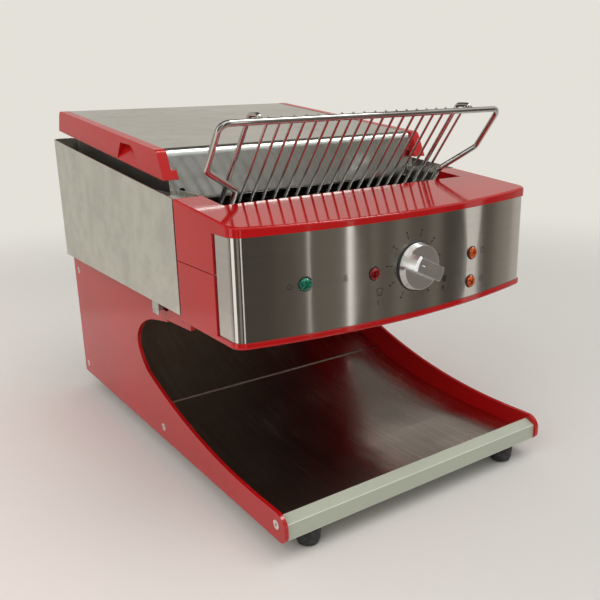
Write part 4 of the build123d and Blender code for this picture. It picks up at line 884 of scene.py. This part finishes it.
def floor_cloth():
    """Pale cloth near the machine, painted lighter and pinker to its left as lit by red light off its side. Further
    off it fades into the backdrop, and in front mirrors see past it.
    """
    material, look = start("floor_cloth")
    where = look.place()
    weave = look.noise(where, 14, 4)
    cloth = look.node("BsdfPrincipled", sockets={
        # Painted light: towards the left the cloth turns lighter and pinker, standing in for red light bounced off the
        # machine.
        "Base Color": look.blend(look.span(look.part(where, "X") + 0.1 * weave, 0.2, -0.5), *CLOTH_AND_PAINTED_LIGHT),
        "Roughness": 0.85 + 0.1 * weave,
    })
    distance = look.node("VectorMath", {"operation": "LENGTH"}, {0: where}, output="Value")
    ahead = look.span(look.part(where, "Y"), -0.41, -0.48)
    beyond = look.maths("MAXIMUM", ahead, look.span(distance, 0.62, 0.72))
    mirrored = look.node("LightPath", output="Is Glossy Ray")
    seen = look.node("LightPath", output="Is Camera Ray")
    clear = look.node("BsdfTransparent")
    distant = look.node("Emission", sockets={"Color": BACKDROP})
    near = look.mixed(beyond * mirrored, cloth, clear)
    whole = look.mixed(look.span(distance, NEAR, FAR) * seen, near, distant)
    look.node("OutputMaterial", sockets={"Surface": whole})
    return material


floor_mesh = bpy.data.meshes.new("floor")
floor_mesh.from_pydata([(-FLOOR, -FLOOR, 0), (FLOOR, -FLOOR, 0), (FLOOR, FLOOR, 0), (-FLOOR, FLOOR, 0)], [],
                       [(0, 1, 2, 3)])
floor = bpy.data.objects.new("floor", floor_mesh)
bpy.context.scene.collection.objects.link(floor)
floor_mesh.materials.append(floor_cloth())

# ---------------------------------------------------------------- room and lamps
# What mirrors see of the room, by bearing in radians from straight ahead of the machine: pale walls
# behind and beside it, and a dim hall with a few upright windows in front.
ROOM = [
    (-2.45, 0.58), (-2.25, 0.42), (-2.06, 0.42), (-1.98, 0.14), (-1.30, 0.14), (-0.99, 0.07), (-0.95, 0.30),
    (-0.68, 0.30), (-0.64, 0.07), (0.13, 0.085), (0.24, 0.14), (0.44, 0.19), (0.48, 0.23), (0.50, 0.16),
    (0.545, 0.135), (0.565, 0.20), (0.60, 0.14), (0.64, 0.13), (0.685, 0.22), (0.74, 0.13), (0.81, 0.13),
    (0.84, 0.20), (0.875, 0.20), (0.895, 0.085), (0.998, 0.083), (1.112, 0.125), (1.170, 0.13), (1.190, 0.20),
    (1.270, 0.33), (1.305, 0.36), (1.320, 0.60), (1.380, 0.64),
]
WINDOWS = [      # first and last bearing, brightness
    (-1.84, -1.37, 1.30), (-0.46, -0.28, 0.95), (0.286, 0.2945, 0.80), (0.451, 0.4715, 1.35), (1.005, 1.100, 0.80),
]
SASH = 0.003                     # how far a window's side takes to fade
WALL, CEILING_LAMP = (0.74, 0.73, 0.68), (1.40, 1.39, 1.33)
# From the rear wall over the top to the front, as shares of half a turn: a dark ceiling, then a row of lamps.
OVERHEAD = [
    (0.158, (0.60, 0.59, 0.55)), (0.190, (0.12, 0.11, 0.10)), (0.555, (0.13, 0.12, 0.11)),
    (0.575, CEILING_LAMP), (0.69, CEILING_LAMP), (0.73, WALL),
]
STUDIO = (0.66, 0.65, 0.63)      # even light on all that isn't a mirror
SPOT, SPOT_AIM = (9.0, 9.0, 8.8), Vector((0.50, -0.20, 0.84)).normalized()


def tone(brightness):
    """The hall's dim parts are warm, its windows neutral."""
    share = min(brightness, 1)
    return brightness, brightness * (0.86 + 0.12 * share), brightness * (0.70 + 0.25 * share)


world = bpy.data.worlds.new("studio")
world.use_nodes = True
bpy.context.scene.world = world
sky = Look(world.node_tree)
direction = sky.node("TexCoord")                 # in a world, the way that a ray goes
across, back, up = (sky.part(direction, axis) for axis in "XYZ")
bearing = sky.maths("ARCTAN2", across, 0 - back)
walls = sky.node(
    "ValToRGB", {"stops": [(0.5 + angle / math.tau, tone(brightness)) for angle, brightness in ROOM]},
    {"Fac": bearing / math.tau + 0.5},
)
for first, last, brightness in WINDOWS:
    inside = (sky.span(bearing, first - SASH, first, smooth=False)
              * sky.span(bearing, last, last + SASH, 1, 0, smooth=False))
    walls = sky.blend(inside, walls, tone(brightness))
overhead = sky.node("ValToRGB", {"stops": OVERHEAD}, {"Fac": sky.maths("ARCTAN2", up, back) / math.pi})
plain = sky.blend(sky.span(up, 0.26, 0.56), walls, WALL)
behind = sky.span(back, 0.20, 0.40)
room = sky.blend(sky.span(up, 0.36, 0.42) * sky.maths("MAXIMUM", behind, up > 0.70), plain, overhead)
glare = sky.span(sky.dot(direction, tuple(SPOT_AIM)), 0.982, 0.990) * 9
camera_ray = sky.node("LightPath", output="Is Camera Ray")
mirror_ray = sky.node("LightPath", output="Is Glossy Ray")
lit = sky.blend(mirror_ray, STUDIO, sky.blend(sky.maths("MINIMUM", glare, 1), room, SPOT))
seen = sky.blend(camera_ray, lit, BACKDROP)
sky.node("OutputWorld", sockets={"Surface": sky.node("Background", sockets={"Color": seen, "Strength": 1.0})})


def softbox(name, place, aim, size, power):
    """Soft square lamp that mirrors don't show."""
    lamp = bpy.data.lights.new(name, "AREA")
    lamp.size = size
    lamp.energy = power
    stand = bpy.data.objects.new(name, lamp)
    bpy.context.scene.collection.objects.link(stand)
    toward = Vector(aim) - Vector(place)
    stand.matrix_world = Matrix.Translation(place) @ toward.to_track_quat("-Z", "Y").to_matrix().to_4x4()
    stand.visible_glossy = False


MIDDLE = (0, 0, 0.2)
softbox("key", (0.4, -0.9, 2.45), MIDDLE, 1.8, 17)
softbox("fill", (-1.7, -0.8, 1.5), MIDDLE, 1.5, 14.5)

# ---------------------------------------------------------------- camera
YAW, PITCH, ROLL = math.radians(33.79), math.radians(16.28), math.radians(-1.467)
STAND_POINT = Vector((-0.4653, -0.7415, 0.4108))
LENS, SENSOR = 43.64, 36         # millimetres

forward = Vector((math.sin(YAW) * math.cos(PITCH), math.cos(YAW) * math.cos(PITCH), -math.sin(PITCH)))
level_right = Vector((math.cos(YAW), -math.sin(YAW), 0))
level_up = level_right.cross(forward)
right = math.cos(ROLL) * level_right + math.sin(ROLL) * level_up
upward = math.cos(ROLL) * level_up - math.sin(ROLL) * level_right
camera_data = bpy.data.cameras.new("camera")
camera_data.lens = LENS
camera_data.sensor_width = SENSOR
camera = bpy.data.objects.new("camera", camera_data)
bpy.context.scene.collection.objects.link(camera)
turn = Matrix((right, upward, -forward)).transposed().to_4x4()
camera.matrix_world = Matrix.Translation(STAND_POINT) @ turn
bpy.context.scene.camera = camera
bpy.context.scene.view_settings.view_transform = "Standard"
